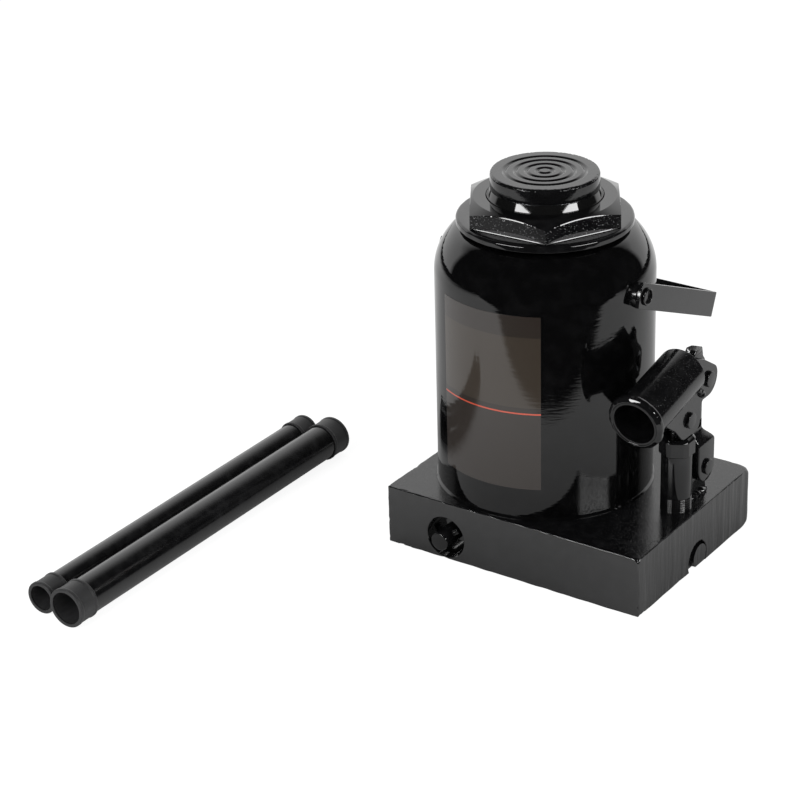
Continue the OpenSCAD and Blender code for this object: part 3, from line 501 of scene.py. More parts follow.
def piece(name, body, nodes, shapes, materials, zones=None, edge=0.0, sharp=35):
    """Joins shapes, given in millimetres, into one finished object that stands for those solids."""
    starts = np.cumsum([0] + [len(points) for points, _ in shapes])
    faces = [[int(k) + int(first) for k in face] for (_, own), first in zip(shapes, starts) for face in own]
    mesh = bpy.data.meshes.new(name)
    mesh.from_pydata((np.vstack([points for points, _ in shapes]) * MM).tolist(), [], faces)
    for material in materials:
        mesh.materials.append(material)
    if zones is not None:
        mesh.polygons.foreach_set("material_index", np.asarray(zones, np.int32))
    clean(mesh)
    smooth(mesh, sharp)
    made = bpy.data.objects.new(name, mesh)
    scene.collection.objects.link(made)
    if edge:
        bevel = made.modifiers.new("edge", "BEVEL")
        bevel.width = edge * MM
        bevel.segments = 2
        bevel.limit_method = "ANGLE"
        bevel.angle_limit = math.radians(sharp)
        bevel.use_clamp_overlap = False
        bevel.harden_normals = True
    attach(made, body)
    if nodes:
        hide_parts(*nodes)
    print(f"{name}: {len(mesh.polygons)} faces")
    return made


print("base solid, low and high corner in mm:", *span("base_block"))

# %% [markdown]
# ## Base block
# The base is a slab cut from thick plate with a torch, so its ends have drag lines and its edges have
# small chips under the paint. A cube with a Bevel would have one radius everywhere. Here every point of a
# gridded box is moved onto a rounded box whose radius changes from place to place: the nearest point of an
# inner box, plus the radius in the direction away from it. Chips are places where the radius grows.

# %% Base block
NEAR_EDGE = np.array([0, 0.2, 0.4, 0.65, 0.95, 1.5, 2.4, 3.8, 5.6])
GRID_STEP = 3.0
base_low, base_high = span("base_block")
front_right = np.array([base_high[0], base_low[1], base_high[2]])
left_notch = np.array([base_low[0], -46.0, base_high[2]])


def bump_at(points, place, size):
    """A round hill of height 1 at a place: exp(-(distance / size) squared)."""
    return np.exp(-((points - place) ** 2).sum(-1) / size ** 2)


def edge_radius(points):
    """Radius of the block's edges: a small one that wavers, chips along the front, and a few knocks."""
    radius = 0.8 + 0.25 * wander(points, 14, 3)
    front_top = np.exp(-((points[..., 0] + 55) / 34) ** 2)
    radius = radius + 2.2 * front_top * np.clip(wander(points, 3.4, 5) - 0.45, 0, 1)
    radius = radius + 0.9 * np.clip(wander(points, 5.5, 7) - 1.0, 0, 1)
    lower_corner = bump_at(points, front_right - [0, 0, 36], 12)
    radius = radius + 2.4 * lower_corner * np.clip(wander(points, 3.0, 9) + 0.1, 0, 1)
    radius = radius + 2.6 * bump_at(points, front_right, 3.6) + 1.9 * bump_at(points, left_notch, 2.6)
    back_corner = np.hypot(points[..., 0] - base_high[0], points[..., 1] - base_high[1])
    radius = radius + 4.2 * np.exp(-(back_corner / 6) ** 2)
    return np.clip(radius, 0.45, 5.5)[..., None]


def stations(low, high):
    """Places along one side of the block: close together at both edges, about one grid step apart between."""
    count = int((high - low) / GRID_STEP)
    middle = np.linspace(low + NEAR_EDGE[-1], high - NEAR_EDGE[-1], count)[1:-1]
    return np.concatenate([low + NEAR_EDGE, middle, high - NEAR_EDGE[::-1]])


def block_side(axis, place):
    """One side of the rounded box, as a grid over the other two axes."""
    second, third = (axis + 1) % 3, (axis + 2) % 3
    flat = np.meshgrid(stations(base_low[second], base_high[second]),
                       stations(base_low[third], base_high[third]), indexing="ij")
    points = np.empty((*flat[0].shape, 3))
    points[..., axis], points[..., second], points[..., third] = place, *flat
    radius = edge_radius(points)
    inner = np.clip(points, base_low + radius, base_high - radius)
    points = inner + radius * unit(points - inner)
    return points.reshape(-1, 3), quads(*flat[0].shape)


sides = [block_side(axis, end[axis]) for axis in range(3) for end in (base_low, base_high)]
zones = np.repeat([1, 1, 0, 0, 2, 2], [len(faces) for _, faces in sides])
base = piece("base_block_painted", "jack_body", ["base_block"], sides,
             [thick_enamel, cut_enamel, sandy_enamel], zones)

# %% [markdown]
# Two round pockets are drilled in it: a deep one in front, where the release valve is turned, and a
# shallow one in the pump end, which runs out at the bottom edge. Their mouths are slightly chamfered. Holes
# could be left open in the grid, but a Boolean cut needs no fitting of one grid to another.

# %% Pockets in the base
release_low, release_high = span("release_stem")
release_x = (release_low[0] + release_high[0]) / 2
release_z = (release_low[2] + release_high[2]) / 2
POCKET_R, POCKET_DEPTH = 15.9, 13.0
PLUG_R, PLUG_DEPTH, PLUG_PLACE = 13.6, 3.5, (3.4, 6.6)


def cut(made, tools):
    """Takes the tools' shapes out of a piece with the Boolean modifier, and keeps the result as its mesh."""
    cutters = []
    for points, faces in tools:
        mesh = bpy.data.meshes.new("cutter")
        mesh.from_pydata((points * MM).tolist(), [], np.asarray(faces).tolist())
        clean(mesh)
        cutter = bpy.data.objects.new("cutter", mesh)
        scene.collection.objects.link(cutter)
        boolean = made.modifiers.new("cut", "BOOLEAN")
        boolean.operation = "DIFFERENCE"
        boolean.solver = "EXACT"
        boolean.object = cutter
        cutters.append(cutter)
    result = bpy.data.meshes.new_from_object(made.evaluated_get(bpy.context.evaluated_depsgraph_get()))
    made.modifiers.clear()
    made.data = result
    for cutter in cutters:
        bpy.data.objects.remove(cutter)
    smooth(result)


def pocket(radius, depth):
    """Cutter along Z: a flat-floored hole of that radius whose last part opens out at 45 degrees."""
    return turned([(0, 0), (radius, 0), (radius, depth - 0.5), (radius + 2.5, depth + 2), (0, depth + 2)], 96,
                  False)


cut(base, [
    along(pocket(POCKET_R, POCKET_DEPTH), [release_x, base_low[1] + POCKET_DEPTH, release_z], [0, -1, 0]),
    along(pocket(PLUG_R, PLUG_DEPTH), [base_high[0] - PLUG_DEPTH, *PLUG_PLACE], [1, 0, 0]),
])
print("base after drilling:", len(base.data.polygons), "faces")

# %% [markdown]
# ## Oil tank
# The tank is a tube with a spun shoulder, set into the base over a weld bead. The shoulder leaves the wall
# in a wide arc and turns into the top in a tight one. The whole tank is one closed profile carried round
# the ram's axis. Its height and radius come from the frame.

# %% Oil tank
tank_high = span("tank_shell")[1]
tank_r = tank_high[0]
SIDE_R, EDGE_R, SHOULDER_TURN, WALL, NECK = 42.2, 18.0, math.radians(43), 4.0, 53.4
foot = base_high[2]


def tank_shoulder(inset):
    """Two arcs round fixed centres, both radii less an inset: a wide one off the wall, then a tight one."""
    turn = np.array([math.cos(SHOULDER_TURN), math.sin(SHOULDER_TURN)])
    tight = np.array([tank_r - SIDE_R, tank_high[2] - EDGE_R]) + (SIDE_R - EDGE_R) * turn * [1, 0]
    wide = tight - (SIDE_R - EDGE_R) * turn
    low = np.linspace(0, SHOULDER_TURN, 18)[:, None]
    high = np.linspace(SHOULDER_TURN, np.pi / 2, 14)[1:, None]
    return np.vstack([wide + (SIDE_R - inset) * np.hstack([np.cos(low), np.sin(low)]),
                      tight + (EDGE_R - inset) * np.hstack([np.cos(high), np.sin(high)])])


foot_profile = rounded([
    (tank_r - WALL, foot - 0.8, 0), (tank_r + 1.6, foot - 0.1, 0.05), (tank_r + 1.6, foot + 0.4, 0.4),
    (tank_r + 0.7, foot + 1.5, 0.8), (tank_r, foot + 2.0, 0.4), (tank_r, foot + 9, 0),
], 8, closed=False)
neck_profile = [(NECK, tank_high[2]), (NECK, tank_high[2] - WALL)]
tank_profile = np.vstack([foot_profile, tank_shoulder(0), neck_profile, tank_shoulder(WALL)[::-1]])
tank = piece("tank_shell_painted", "jack_body", ["tank_shell"], [turned(tank_profile, 192)],
             [turned_enamel])

# %% [markdown]
# ## Label
# A printed vinyl sheet is stuck on the tank: a warm dark brown with a level band in a lighter tone, and one
# thin red rule under the band. The patch is a grid in angle and height, and its own UV map runs from 0 to 1
# over it, so the print can be drawn with sizes in millimetres. A clear coat over the print gives its gloss.

# %% Label print
LABEL_TURN, LABEL_ARC, LABEL_HEIGHT, LABEL_FOOT = -90.8, 60.5, 134.0, 70.5
LABEL_WIDTH = math.radians(LABEL_ARC) * tank_r
BAND_MIDDLE, BAND_HALF = 91.0, 27.0
RULE_MIDDLE, RULE_HALF = 59.45, 0.55

label_vinyl, tree = blank("printed_vinyl")
print_place = add(tree, "UVMap", uv_map="print")[0]
up = add(tree, "SeparateXYZ", {0: print_place})["Y"]
up = add(tree, "Math", {0: up, 1: LABEL_HEIGHT}, operation="MULTIPLY")[0]
# Compare gives 1 where a value is nearer to a middle than half a width, else 0.
band = add(tree, "Math", {0: up, 1: BAND_MIDDLE, 2: BAND_HALF}, operation="COMPARE")[0]
rule = add(tree, "Math", {0: up, 1: RULE_MIDDLE, 2: RULE_HALF}, operation="COMPARE")[0]
shade = add(tree, "Mix", {0: band, 6: linear("#231a13"), 7: linear("#32291f")}, data_type="RGBA")[2]
shade = add(tree, "Mix", {0: rule, 6: shade, 7: linear("#c2492f")}, data_type="RGBA")[2]
relief = grain(tree, add(tree, "TexCoord")["Object"], (45, 45, 2.4), 3)
relief = add(tree, "Bump", {"Height": relief, "Distance": 0.03 * MM})[0]
film = add(tree, "BsdfPrincipled", {"Base Color": shade, "Roughness": 0.5, "IOR": 1.4, "Normal": relief,
                                    "Coat Weight": 1.0, "Coat Roughness": 0.05, "Coat IOR": 1.58,
                                    "Coat Normal": relief})[0]
add(tree, "OutputMaterial", {"Surface": film})
print("label print:", len(tree.nodes), "nodes")

# %% Label patch
LABEL_R, FILM, LABEL_STEPS = tank_r + 0.15, 0.12, 49
loop_r = np.array([LABEL_R - FILM, LABEL_R, LABEL_R, LABEL_R - FILM])[:, None]
loop_z = LABEL_FOOT + LABEL_HEIGHT * np.array([0, 0, 1, 1])[:, None]
angle = np.radians(LABEL_TURN + LABEL_ARC * np.linspace(-0.5, 0.5, LABEL_STEPS))
sheet_grid = np.broadcast_arrays(loop_r * np.cos(angle), loop_r * np.sin(angle), loop_z)
points = np.stack(sheet_grid, -1).reshape(-1, 3)
ends = LABEL_STEPS * np.arange(4) + [[0], [LABEL_STEPS - 1]]
faces = np.vstack([quads(4, LABEL_STEPS, True), ends])
label = piece("label_print", "jack_body", ["label"], [(points, faces)], [label_vinyl])
place = np.empty(3 * len(label.data.vertices), np.float32)
label.data.vertices.foreach_get("co", place)
x, y, z = place.reshape(-1, 3).T / MM
u = (np.degrees(np.arctan2(y, x)) - LABEL_TURN) / LABEL_ARC + 0.5
corner = np.empty(len(label.data.loops), np.int32)
label.data.loops.foreach_get("vertex_index", corner)
print_map = label.data.uv_layers.new(name="print")
uv = np.stack([u, (z - LABEL_FOOT) / LABEL_HEIGHT], -1)[corner]
print_map.data.foreach_set("uv", uv.astype(np.float32).ravel())
flagged.objects.link(tank)
for member in flagged.collection_objects:
    member.light_linking.link_state = "EXCLUDE"
print("label:", round(LABEL_WIDTH, 1), "by", LABEL_HEIGHT, "mm")

# %% [markdown]
# ## Cover ring and gland nut
# A forged ring lies on the shoulder, and the gland nut above it holds the seals. The nut is a lathe form
# whose radius depends on the angle: half its width across flats divided by the cosine of the angle from
# the nearest flat's middle. Where the cone of its chamfer meets a flat, the edge is a curve, and the rows
# of the grid follow that curve so that it stays crisp. A narrow worn facet along it, which flakes away
# towards the corners, and a rib pressed out at the foot lean just enough to mirror the softboxes.

# %% Cover ring
# Turned ring: glossy with a soft waver, and a few grains of dirt under the paint.
ring_enamel = enamel("enamel_on_turned_ring", [((14, 14, 14), 0.02), ((1.2, 1.2, 1.2), 0.004)], (0.04, 0.08),
                     specks=(1.4, 0.08, 0.7))
RING_BORE = 53.2
ring_low, ring_high = span("cover_ring")
ring_r, ring_foot, ring_top = ring_high[0], ring_low[2], ring_high[2]
ring_profile = rounded([(RING_BORE, ring_foot, 0.2), (ring_r, ring_foot, 0.7), (ring_r, ring_top, 2.0),
                        (RING_BORE, ring_top, 0.2)], 8)
points, faces = turned(ring_profile, 192)
points[:, :2] *= 1 + 0.0016 * wander(points, 9, 11)[:, None]
piece("cover_ring_forged", "jack_body", ["cover_ring"], [(points, faces)], [ring_enamel])

# %% Gland nut
NUT_FLATS, NUT_FACE_R, NUT_BORE, NUT_CHAMFER = 105.5, 51.05, 42.0, math.radians(24)
NUT_STEPS, NUT_TURN = 480, 2.0
nut_foot, nut_top = ring_top + 0.2, 265.0


def hexagon(steps, flats, turn=0.0):
    """Radius of a hexagon at each angle: half the width over flats / cos(angle from a flat's middle)."""
    angle = np.degrees(np.linspace(0, 2 * np.pi, steps, endpoint=False))
    return flats / 2 / np.cos(np.radians((angle - turn) % 60 - 30))


def rows(*pairs):
    """A profile for every angle from pairs (r, z), whose values are numbers or one number per angle."""
    values = np.broadcast_arrays(*(value for pair in pairs for value in pair))
    return np.stack(values, -1).reshape(-1, len(pairs), 2).swapaxes(0, 1)


hex_r = hexagon(NUT_STEPS, NUT_FLATS)
chamfer_z = nut_top - (hex_r - NUT_FACE_R) * math.tan(NUT_CHAMFER)
from_middle = np.abs(np.linspace(0, 360, NUT_STEPS, endpoint=False) % 60 - 30)
flaked = np.random.default_rng(15).uniform(0, 12, NUT_STEPS)
worn = np.clip((27 - flaked - from_middle) / 3, 0, 1)


def spun(shape, degrees):
    """The same shape turned about the ram's axis."""
    cosine, sine = math.cos(math.radians(degrees)), math.sin(math.radians(degrees))
    return shape[0] @ np.array([[cosine, sine, 0], [-sine, cosine, 0], [0, 0, 1]]), shape[1]


nut_rows = rows((NUT_BORE, nut_foot), (hex_r, nut_foot), (hex_r + 0.2, nut_foot + 0.25),
                (hex_r + 0.2, nut_foot + 0.45), (hex_r, nut_foot + 0.9), (hex_r, chamfer_z - 0.5 * worn),
                (hex_r - 0.26 * worn, chamfer_z + 0.116 * worn), (NUT_FACE_R, nut_top), (NUT_BORE, nut_top))
zones = np.repeat([0, 0, 0, 0, 1, 0, 0, 0, 0], NUT_STEPS)
# The flats take the forged enamel, whose light specks are painted glints.
piece("gland_nut_forged", "jack_body", ["gland_nut"], [spun(turned(nut_rows), NUT_TURN)],
      [smooth_enamel, forged_enamel], zones, sharp=8)

# %% [markdown]
# ## Collar and saddle
# A polished rubber collar keeps dust off the ram. Above it sits the saddle, a round steel pad with rings
# of soft waves that grip the load. The waves are in its profile: each is a squared cosine of the distance
# from a groove's middle. Its rim is knocked about a little: the noise lowers it from place to place.

# %% Dust collar
saddle_high = span("saddle")[1]
saddle_r, saddle_top, SADDLE_FOOT = saddle_high[0], saddle_high[2], 271.3
COLLAR_FOOT, COLLAR_TOP = nut_top - 3, SADDLE_FOOT - 0.5
COLLAR_BORE, COLLAR_R = 38.1, 41.3
collar_profile = rounded([
    (COLLAR_BORE, COLLAR_FOOT, 0), (COLLAR_R, COLLAR_FOOT, 0), (COLLAR_R, nut_top + 0.5, 0.2),
    (COLLAR_R - 0.3, nut_top + 0.7, 0.2), (38.95, COLLAR_TOP, 0.3), (COLLAR_BORE, COLLAR_TOP, 0.2),
])
piece("dust_collar", "jack_body", ["wiper_seal"], [turned(collar_profile, 160)],
      [wiper_rubber])

# %% Saddle
GROOVES, GROOVE_HALF, GROOVE_DEPTH = 5.4 + 7.7 * np.arange(4), 2.2, 1.0
flat_r = saddle_r - 1.6
across_top = np.linspace(0, flat_r, 150)
from_groove = np.abs(across_top[:, None] - GROOVES).min(1)
dip = GROOVE_DEPTH * np.cos(np.clip(from_groove / GROOVE_HALF, 0, 1) * np.pi / 2) ** 2
top_profile = np.column_stack([across_top, saddle_top - dip])
side_profile = rounded([
    (flat_r, saddle_top, 0), (saddle_r - 0.9, saddle_top - 0.1, 0.3),
    (saddle_r - 0.2, saddle_top - 1.3, 0.6), (saddle_r, saddle_top - 2.2, 0.5), (saddle_r, SADDLE_FOOT, 0.2),
    (0, SADDLE_FOOT, 0),
], 4, closed=False)
points, faces = turned(np.vstack([top_profile, side_profile[1:]]), 360, False)
from_axis = np.hypot(points[:, 0], points[:, 1])
rim = np.exp(-((from_axis - saddle_r + 0.5) / 0.8) ** 2) * (points[:, 2] > saddle_top - 2)
points[:, 2] -= 0.6 * rim * np.clip(wander(points, 1.7, 21) - 0.3, 0, 1)
saddle_enamel = enamel("enamel_on_sawn_steel",
                       [((2.2, 2.2, 2.2), 0.05), ((0.8, 0.8, 0.8), 0.02), ((60, 60, 1.6), 0.03)],
                       (0.08, 0.16))
piece("saddle_grooved", "ram", ["saddle"], [(points, faces)], [saddle_enamel], sharp=40)

# %% [markdown]
# ## Pump
# The pump's body screws into the base. Its foot shows a few threads, its middle is plain, and its head is
# a small hexagon with its corners turned off. The head is the same kind of lathe form as the nut.

# %% Pump body
PUMP_X = 110.0
pump_top = span("pump_cylinder")[1][2]
PUMP_R, PUMP_BORE, THREAD_TOP, THREAD_PITCH, THREAD_DEPTH = 11.3, 7.0, foot + 10.8, 1.8, 0.5
HEAD_FOOT, HEAD_CORNER, HEAD_FLATS = pump_top - 14.2, 13.0, 24.4
thread_z = np.linspace(foot, THREAD_TOP, 80)
thread_r = PUMP_R - THREAD_DEPTH / 2 * (1 - np.cos(2 * np.pi * (thread_z - foot) / THREAD_PITCH))
body_profile = np.vstack([[(PUMP_BORE, foot - 2), (PUMP_R, foot - 2)], np.column_stack([thread_r, thread_z]),
                          [(PUMP_R, HEAD_FOOT + 1), (PUMP_BORE, HEAD_FOOT + 1)]])
hex_r = np.minimum(hexagon(240, HEAD_FLATS, 30), HEAD_CORNER)
head_rows = rows((PUMP_BORE, HEAD_FOOT), (hex_r - 1.3, HEAD_FOOT), (hex_r, HEAD_FOOT + 0.9),
                 (hex_r, pump_top - 2.4), (hex_r - 1.1, pump_top - 0.7), (hex_r - 2.2, pump_top),
                 (PUMP_BORE, pump_top))
pump_turned = turned(body_profile, 96), turned(head_rows)
pump_shapes = [(points + [PUMP_X, 0, 0], faces) for points, faces in pump_turned]
piece("pump_body", "jack_body", ["pump_cylinder"], pump_shapes, [smooth_enamel], edge=0.25,
      sharp=25)

# %% [markdown]
# ## Lever
# The lever is a short tube that takes the handle, with a ring welded round its mouth and two plates under
# it. The plates carry the pins. A plate's outline lists the corners as a fitter would mark them out: along
# the tube, up behind its end, round the ear, and back under the lobe.

# %% Handle socket
SOCKET_MOUTH = np.array([PUMP_X, -63.2, 137.9])
SOCKET_SLOPE = math.radians(11.8)
SOCKET_LENGTH, SOCKET_R, SOCKET_BORE, RIM_R, RIM_LENGTH = 70.0, 18.0, 15.8, 21.2, 7.0
inward = np.array([0, math.cos(SOCKET_SLOPE), math.sin(SOCKET_SLOPE)])
over = np.array([0, -math.sin(SOCKET_SLOPE), math.cos(SOCKET_SLOPE)])
tube_profile = rounded([
    (SOCKET_BORE, 0.8, 0.1), (SOCKET_R, 0.8, 0.1), (SOCKET_R, SOCKET_LENGTH, 0.5),
    (SOCKET_BORE, SOCKET_LENGTH, 0.5),
])
piece("socket_tube_painted", "lever", ["socket_tube"],
      [along(turned(tube_profile, 128), SOCKET_MOUTH, inward)], [pipe_enamel])
rim_profile = rounded([
    (SOCKET_BORE, 2.6, 0.8), (SOCKET_BORE + 2.2, 0, 1.0), (RIM_R, 2.4, 1.8), (RIM_R, RIM_LENGTH, 3.0),
    (SOCKET_R, RIM_LENGTH + 0.6, 0.2), (SOCKET_R - 0.6, 4, 0), (SOCKET_BORE, 4, 0),
], 10)
points, faces = turned(rim_profile, 128)
outer = np.hypot(points[:, 0], points[:, 1]) > SOCKET_R
points[:, :2] *= 1 + (0.01 * (wander(points, 6, 31) - 0.6) * outer)[:, None]
piece("socket_rim_welded", "lever", ["socket_rim"],
      [along((points, faces), SOCKET_MOUTH, inward)], [smooth_enamel])

# %% Lever plates
MID_PIN, UPPER_PIN, LOWER_PIN = np.array([0, 117.5]), np.array([27, 139]), np.array([26, 70])
TUBE_DROP, EAR_R, LOBE_R = 15.2, 13.5, 13.0
PLATE_IN, PLATE_OUT = 4.6, 9.6


def capped(rows, columns):
    """Corner numbers of a tube's faces: a grid that closes round, with one face over each end."""
    ends = [list(range(first, first + columns)) for first in (0, (rows - 1) * columns)]
    return quads(rows, columns, False, True).tolist() + ends


def across_pump(outline, low, high):
    """A plate: an outline in Y and Z carried from X = low to X = high, with a face at each end."""
    points = np.vstack([np.insert(outline, 0, x, axis=1) for x in (low, high)])
    return points, capped(2, len(outline))


def by_socket(distance, rise):
    """A place [Y, Z] at a distance from the socket's mouth along its axis, and a rise square to it."""
    return (SOCKET_MOUTH + distance * inward + rise * over)[1:]


ear_right, ear_foot, lobe_foot = UPPER_PIN[0] + EAR_R, UPPER_PIN[1] - EAR_R, MID_PIN[1] - LOBE_R
plate_outline = rounded([
    (*by_socket(24, -TUBE_DROP), 0.5), (*by_socket(SOCKET_LENGTH + 0.2, -TUBE_DROP), 0.3),
    (*by_socket(SOCKET_LENGTH + 0.2, 11), 1.5), (20, 157, 3), (ear_right, 144, 9),
    (ear_right, ear_foot, 13.4), (19.5, ear_foot, 1.5), (16, 122, 3), (16, lobe_foot, 7), (-9, lobe_foot, 9),
    (-20.5, 116.8, 5),
], 8)
for name, inner, outer in (("near", PLATE_IN, PLATE_OUT), ("far", -PLATE_OUT, -PLATE_IN)):
    piece(f"lever_plate_{name}", "lever", [f"lever_cheek_{name}"],
          [across_pump(plate_outline, PUMP_X + inner, PUMP_X + outer)], [plate_enamel], edge=0.6)

# %% [markdown]
# ## Pins
# Three headed pins hold the lever, the plunger and the link together. Each is one profile along X: a
# shank, and a head with a rounded edge on the side that faces the camera.

# %% Headed pins
PIN_R, HEAD_R, HEAD_H, PIN_TAIL = 5.0, 5.9, 2.4, 3.6
FORK_HALF = 10.5


def bar(corners, steps=64):
    """Solid turned piece along Z: corners (r, z, radius) from the axis and back to it, carried round."""
    return turned(rounded(corners, 5, closed=False), steps, False)


pins = (("plunger_pin", "lever", MID_PIN, PLATE_OUT), ("link_pin", "lever", UPPER_PIN, PLATE_OUT),
        ("base_pin", "link", LOWER_PIN, FORK_HALF))
for name, body, place, half in pins:
    pin = bar([
        (0, -half - PIN_TAIL, 0), (PIN_R, -half - PIN_TAIL, 0.6), (PIN_R, half + 0.1, 0.1),
        (HEAD_R, half + 0.1, 0.3), (HEAD_R, half + HEAD_H, 0.7), (0, half + HEAD_H, 0),
    ])
    piece(f"{name}_headed", body, [name], [along(pin, [PUMP_X, *place], [1, 0, 0])],
          [smooth_enamel])

# %% [markdown]
# ## Link
# The link is bent from flat bar: two arms stand either side of a lug on the base, step inwards over a
# rounded shoulder and run up together between the lever's plates. Each part is lofted: at every height it
# is a rectangle with rounded corners, and its four sides are functions of the height.

# %% Link
def loft(height, x_low, x_high, y_low, y_high, corner=1.0, steps=5):
    """Upright bar: at each height a rectangle between four sides, with corners rounded to one radius."""
    sides = np.broadcast_arrays(height, x_low, x_high, y_low, y_high)
    height, x_low, x_high, y_low, y_high = (side[:, None] for side in sides)
    radius = np.minimum(corner, 0.49 * np.minimum(x_high - x_low, y_high - y_low))
    angle = np.radians(np.linspace(0, 90, steps)[None] + 90 * np.arange(4)[:, None]).ravel()
    right = np.repeat([True, False, False, True], steps)
    back = np.repeat([True, True, False, False], steps)
    x = np.where(right, x_high - radius, x_low + radius) + radius * np.cos(angle)
    y = np.where(back, y_high - radius, y_low + radius) + radius * np.sin(angle)
    points = np.stack(np.broadcast_arrays(x, y, height), -1).reshape(-1, 3)
    return points, capped(len(height), 4 * steps)


FORK_R, BAR_HALF, ARM_IN = 11.5, 4.3, 4.7
SHOULDER_FOOT, SHOULDER_TOP = 88.0, 100.0
below_pin = LOWER_PIN[1] - FORK_R * np.cos(np.linspace(0.12, np.pi / 2, 10))
arm_z = np.concatenate([below_pin, np.linspace(LOWER_PIN[1], SHOULDER_FOOT, 7)[1:],
                        np.linspace(SHOULDER_FOOT, SHOULDER_TOP + 6, 22)[1:]])
arm_half = np.sqrt(np.maximum(FORK_R ** 2 - np.clip(LOWER_PIN[1] - arm_z, 0, None) ** 2, 0.04))
step_in = np.clip((arm_z - SHOULDER_FOOT) / (SHOULDER_TOP - SHOULDER_FOOT), 0, 1)
step_in = step_in ** 2 * (3 - 2 * step_in)
arm_front = np.where(arm_z < SHOULDER_FOOT, LOWER_PIN[0] - arm_half, LOWER_PIN[0] - FORK_R)
arm_back = np.where(arm_z < SHOULDER_FOOT, LOWER_PIN[0] + arm_half, LOWER_PIN[0] + FORK_R - 8.6 * step_in)
arm_out = FORK_HALF - (FORK_HALF - BAR_HALF) * step_in
arm_inner = ARM_IN - (ARM_IN + 0.5) * step_in
near_arm = loft(arm_z, PUMP_X + arm_inner, PUMP_X + arm_out, arm_front, arm_back)
far_arm = loft(arm_z, PUMP_X - arm_out, PUMP_X - arm_inner, arm_front, arm_back)
print("link arms:", len(arm_z), "levels")

# %% Upper bar of the link
BAR_FOOT, LINK_TOP, LINK_EAR_R = 94.0, 163.0, 12.0
LUMP_FOOT, LUMP_RISE, LUMP_SIZE = 147.0, 8.0, [0.2, 0.8, 0.8]
bar_z = np.linspace(BAR_FOOT, LINK_TOP, 49)
ear_half = np.sqrt(np.clip(LINK_EAR_R ** 2 - (bar_z - UPPER_PIN[1]) ** 2, 0, None))
bar_front = np.minimum(np.interp(bar_z, [BAR_FOOT, 147, 154, 159, LINK_TOP], [14.2, 14, 12.8, 14.2, 18]),
                       UPPER_PIN[0] - ear_half)
bar_back = np.maximum(np.interp(bar_z, [BAR_FOOT, 126, 148, 152, 160, LINK_TOP],
                                [28.8, 28.8, 32.5, 31.0, 22.6, 19.5]), UPPER_PIN[0] + ear_half)
points, faces = loft(bar_z, PUMP_X - BAR_HALF, PUMP_X + BAR_HALF, bar_front, bar_back, 1.4)
lump = np.clip((points[:, 2] - LUMP_FOOT) / LUMP_RISE, 0, 1)[:, None]
points += lump * LUMP_SIZE * np.stack([wander(points, 7, seed) for seed in (41, 42, 43)], -1)
points[:, 2] = np.minimum(points[:, 2], LINK_TOP + 0.3)
piece("link_bent", "link", ["link"], [near_arm, far_arm, (points, faces)], [plate_enamel],
      sharp=40)

# %% [markdown]
# The lug that the link swings on is welded to the base. A weld bead is a tube swept along a path, and
# noise makes its radius swell and shrink as the welder's hand did.

# %% Lug and weld beads
def bead(path, radius, seed, sides=14):
    """Weld bead: a tube along a path. Its radius is r (1 + noise) and falls to nothing at both ends."""
    path = np.asarray(path, float)
    forward = unit(np.gradient(path, axis=0))
    first = unit(np.cross(forward, [0.31, 0.17, 0.94]))
    second = np.cross(forward, first)
    share = np.linspace(0, 1, len(path))
    taper = np.sqrt(np.clip(1 - (2 * share - 1) ** 8, 0.0004, 1))
    swell = radius * taper * (1 + 0.22 * wander(path, 5, seed))
    angle = np.linspace(0, 2 * np.pi, sides, endpoint=False)[None, :, None]
    outward = np.cos(angle) * first[:, None] + np.sin(angle) * second[:, None]
    points = (path[:, None] + swell[:, None, None] * outward).reshape(-1, 3)
    ripple = 0.16 * radius * wander(points, 2.6, seed + 1)
    points += ripple[:, None] * unit(points - np.repeat(path, sides, 0))
    return points, capped(len(path), sides)


def walk(corners, count):
    """Points at even distances along straight lines between corners."""
    corners = np.asarray(corners, float)
    length = np.concatenate([[0], np.cumsum(np.linalg.norm(np.diff(corners, axis=0), axis=1))])
    place = np.linspace(0, length[-1], count)
    return np.stack([np.interp(place, length, corners[:, k]) for k in range(3)], -1)


LUG_R = 10.0
lug_front, lug_back = LOWER_PIN[0] - LUG_R, LOWER_PIN[0] + LUG_R
lug_outline = rounded([
    (lug_front - 1.5, foot - 0.5, 0), (lug_back + 1.5, foot - 0.5, 0), (lug_back, foot + 6, 2),
    (lug_back, LOWER_PIN[1] + LUG_R, 9.9), (lug_front, LOWER_PIN[1] + LUG_R, 9.9), (lug_front, foot + 6, 2),
])
piece("link_lug_welded", "jack_body", ["link_lug"],
      [across_pump(lug_outline, PUMP_X - BAR_HALF, PUMP_X + BAR_HALF)],
      [plate_enamel], edge=0.6)
x_near, x_far = PUMP_X + BAR_HALF + 0.6, PUMP_X - BAR_HALF - 0.6
y_front, y_back = lug_front - 1.6, lug_back + 1.6
lug_plan = [(x_near, y_back), (x_near, y_front), (x_far, y_front), (x_far, y_back)]
lug_path = walk([(x, y, foot + 0.6) for x, y in lug_plan], 70)
piece("lug_weld", "jack_body", [], [bead(lug_path, 2.3, 51)], [smooth_enamel], sharp=60)
ear_path = walk([(PUMP_X + 9.6, 10.5, 137.5), (PUMP_X + 9.8, 15.9, 133.1), (PUMP_X + 9.6, 17.5, 129.5)], 26)
piece("ear_weld", "lever", [], [bead(ear_path, 2.4, 55)], [smooth_enamel], sharp=60)

# %% [markdown]
# ## Carrying strap
# A flat strap is bent into a wide U and pivots on two bosses on the tank. Lines along its outer and inner
# faces, one for each step of its width, make a strip, and its sheared ends bulge a little. It is then turned
# about the pivot by the angle at which it hangs.

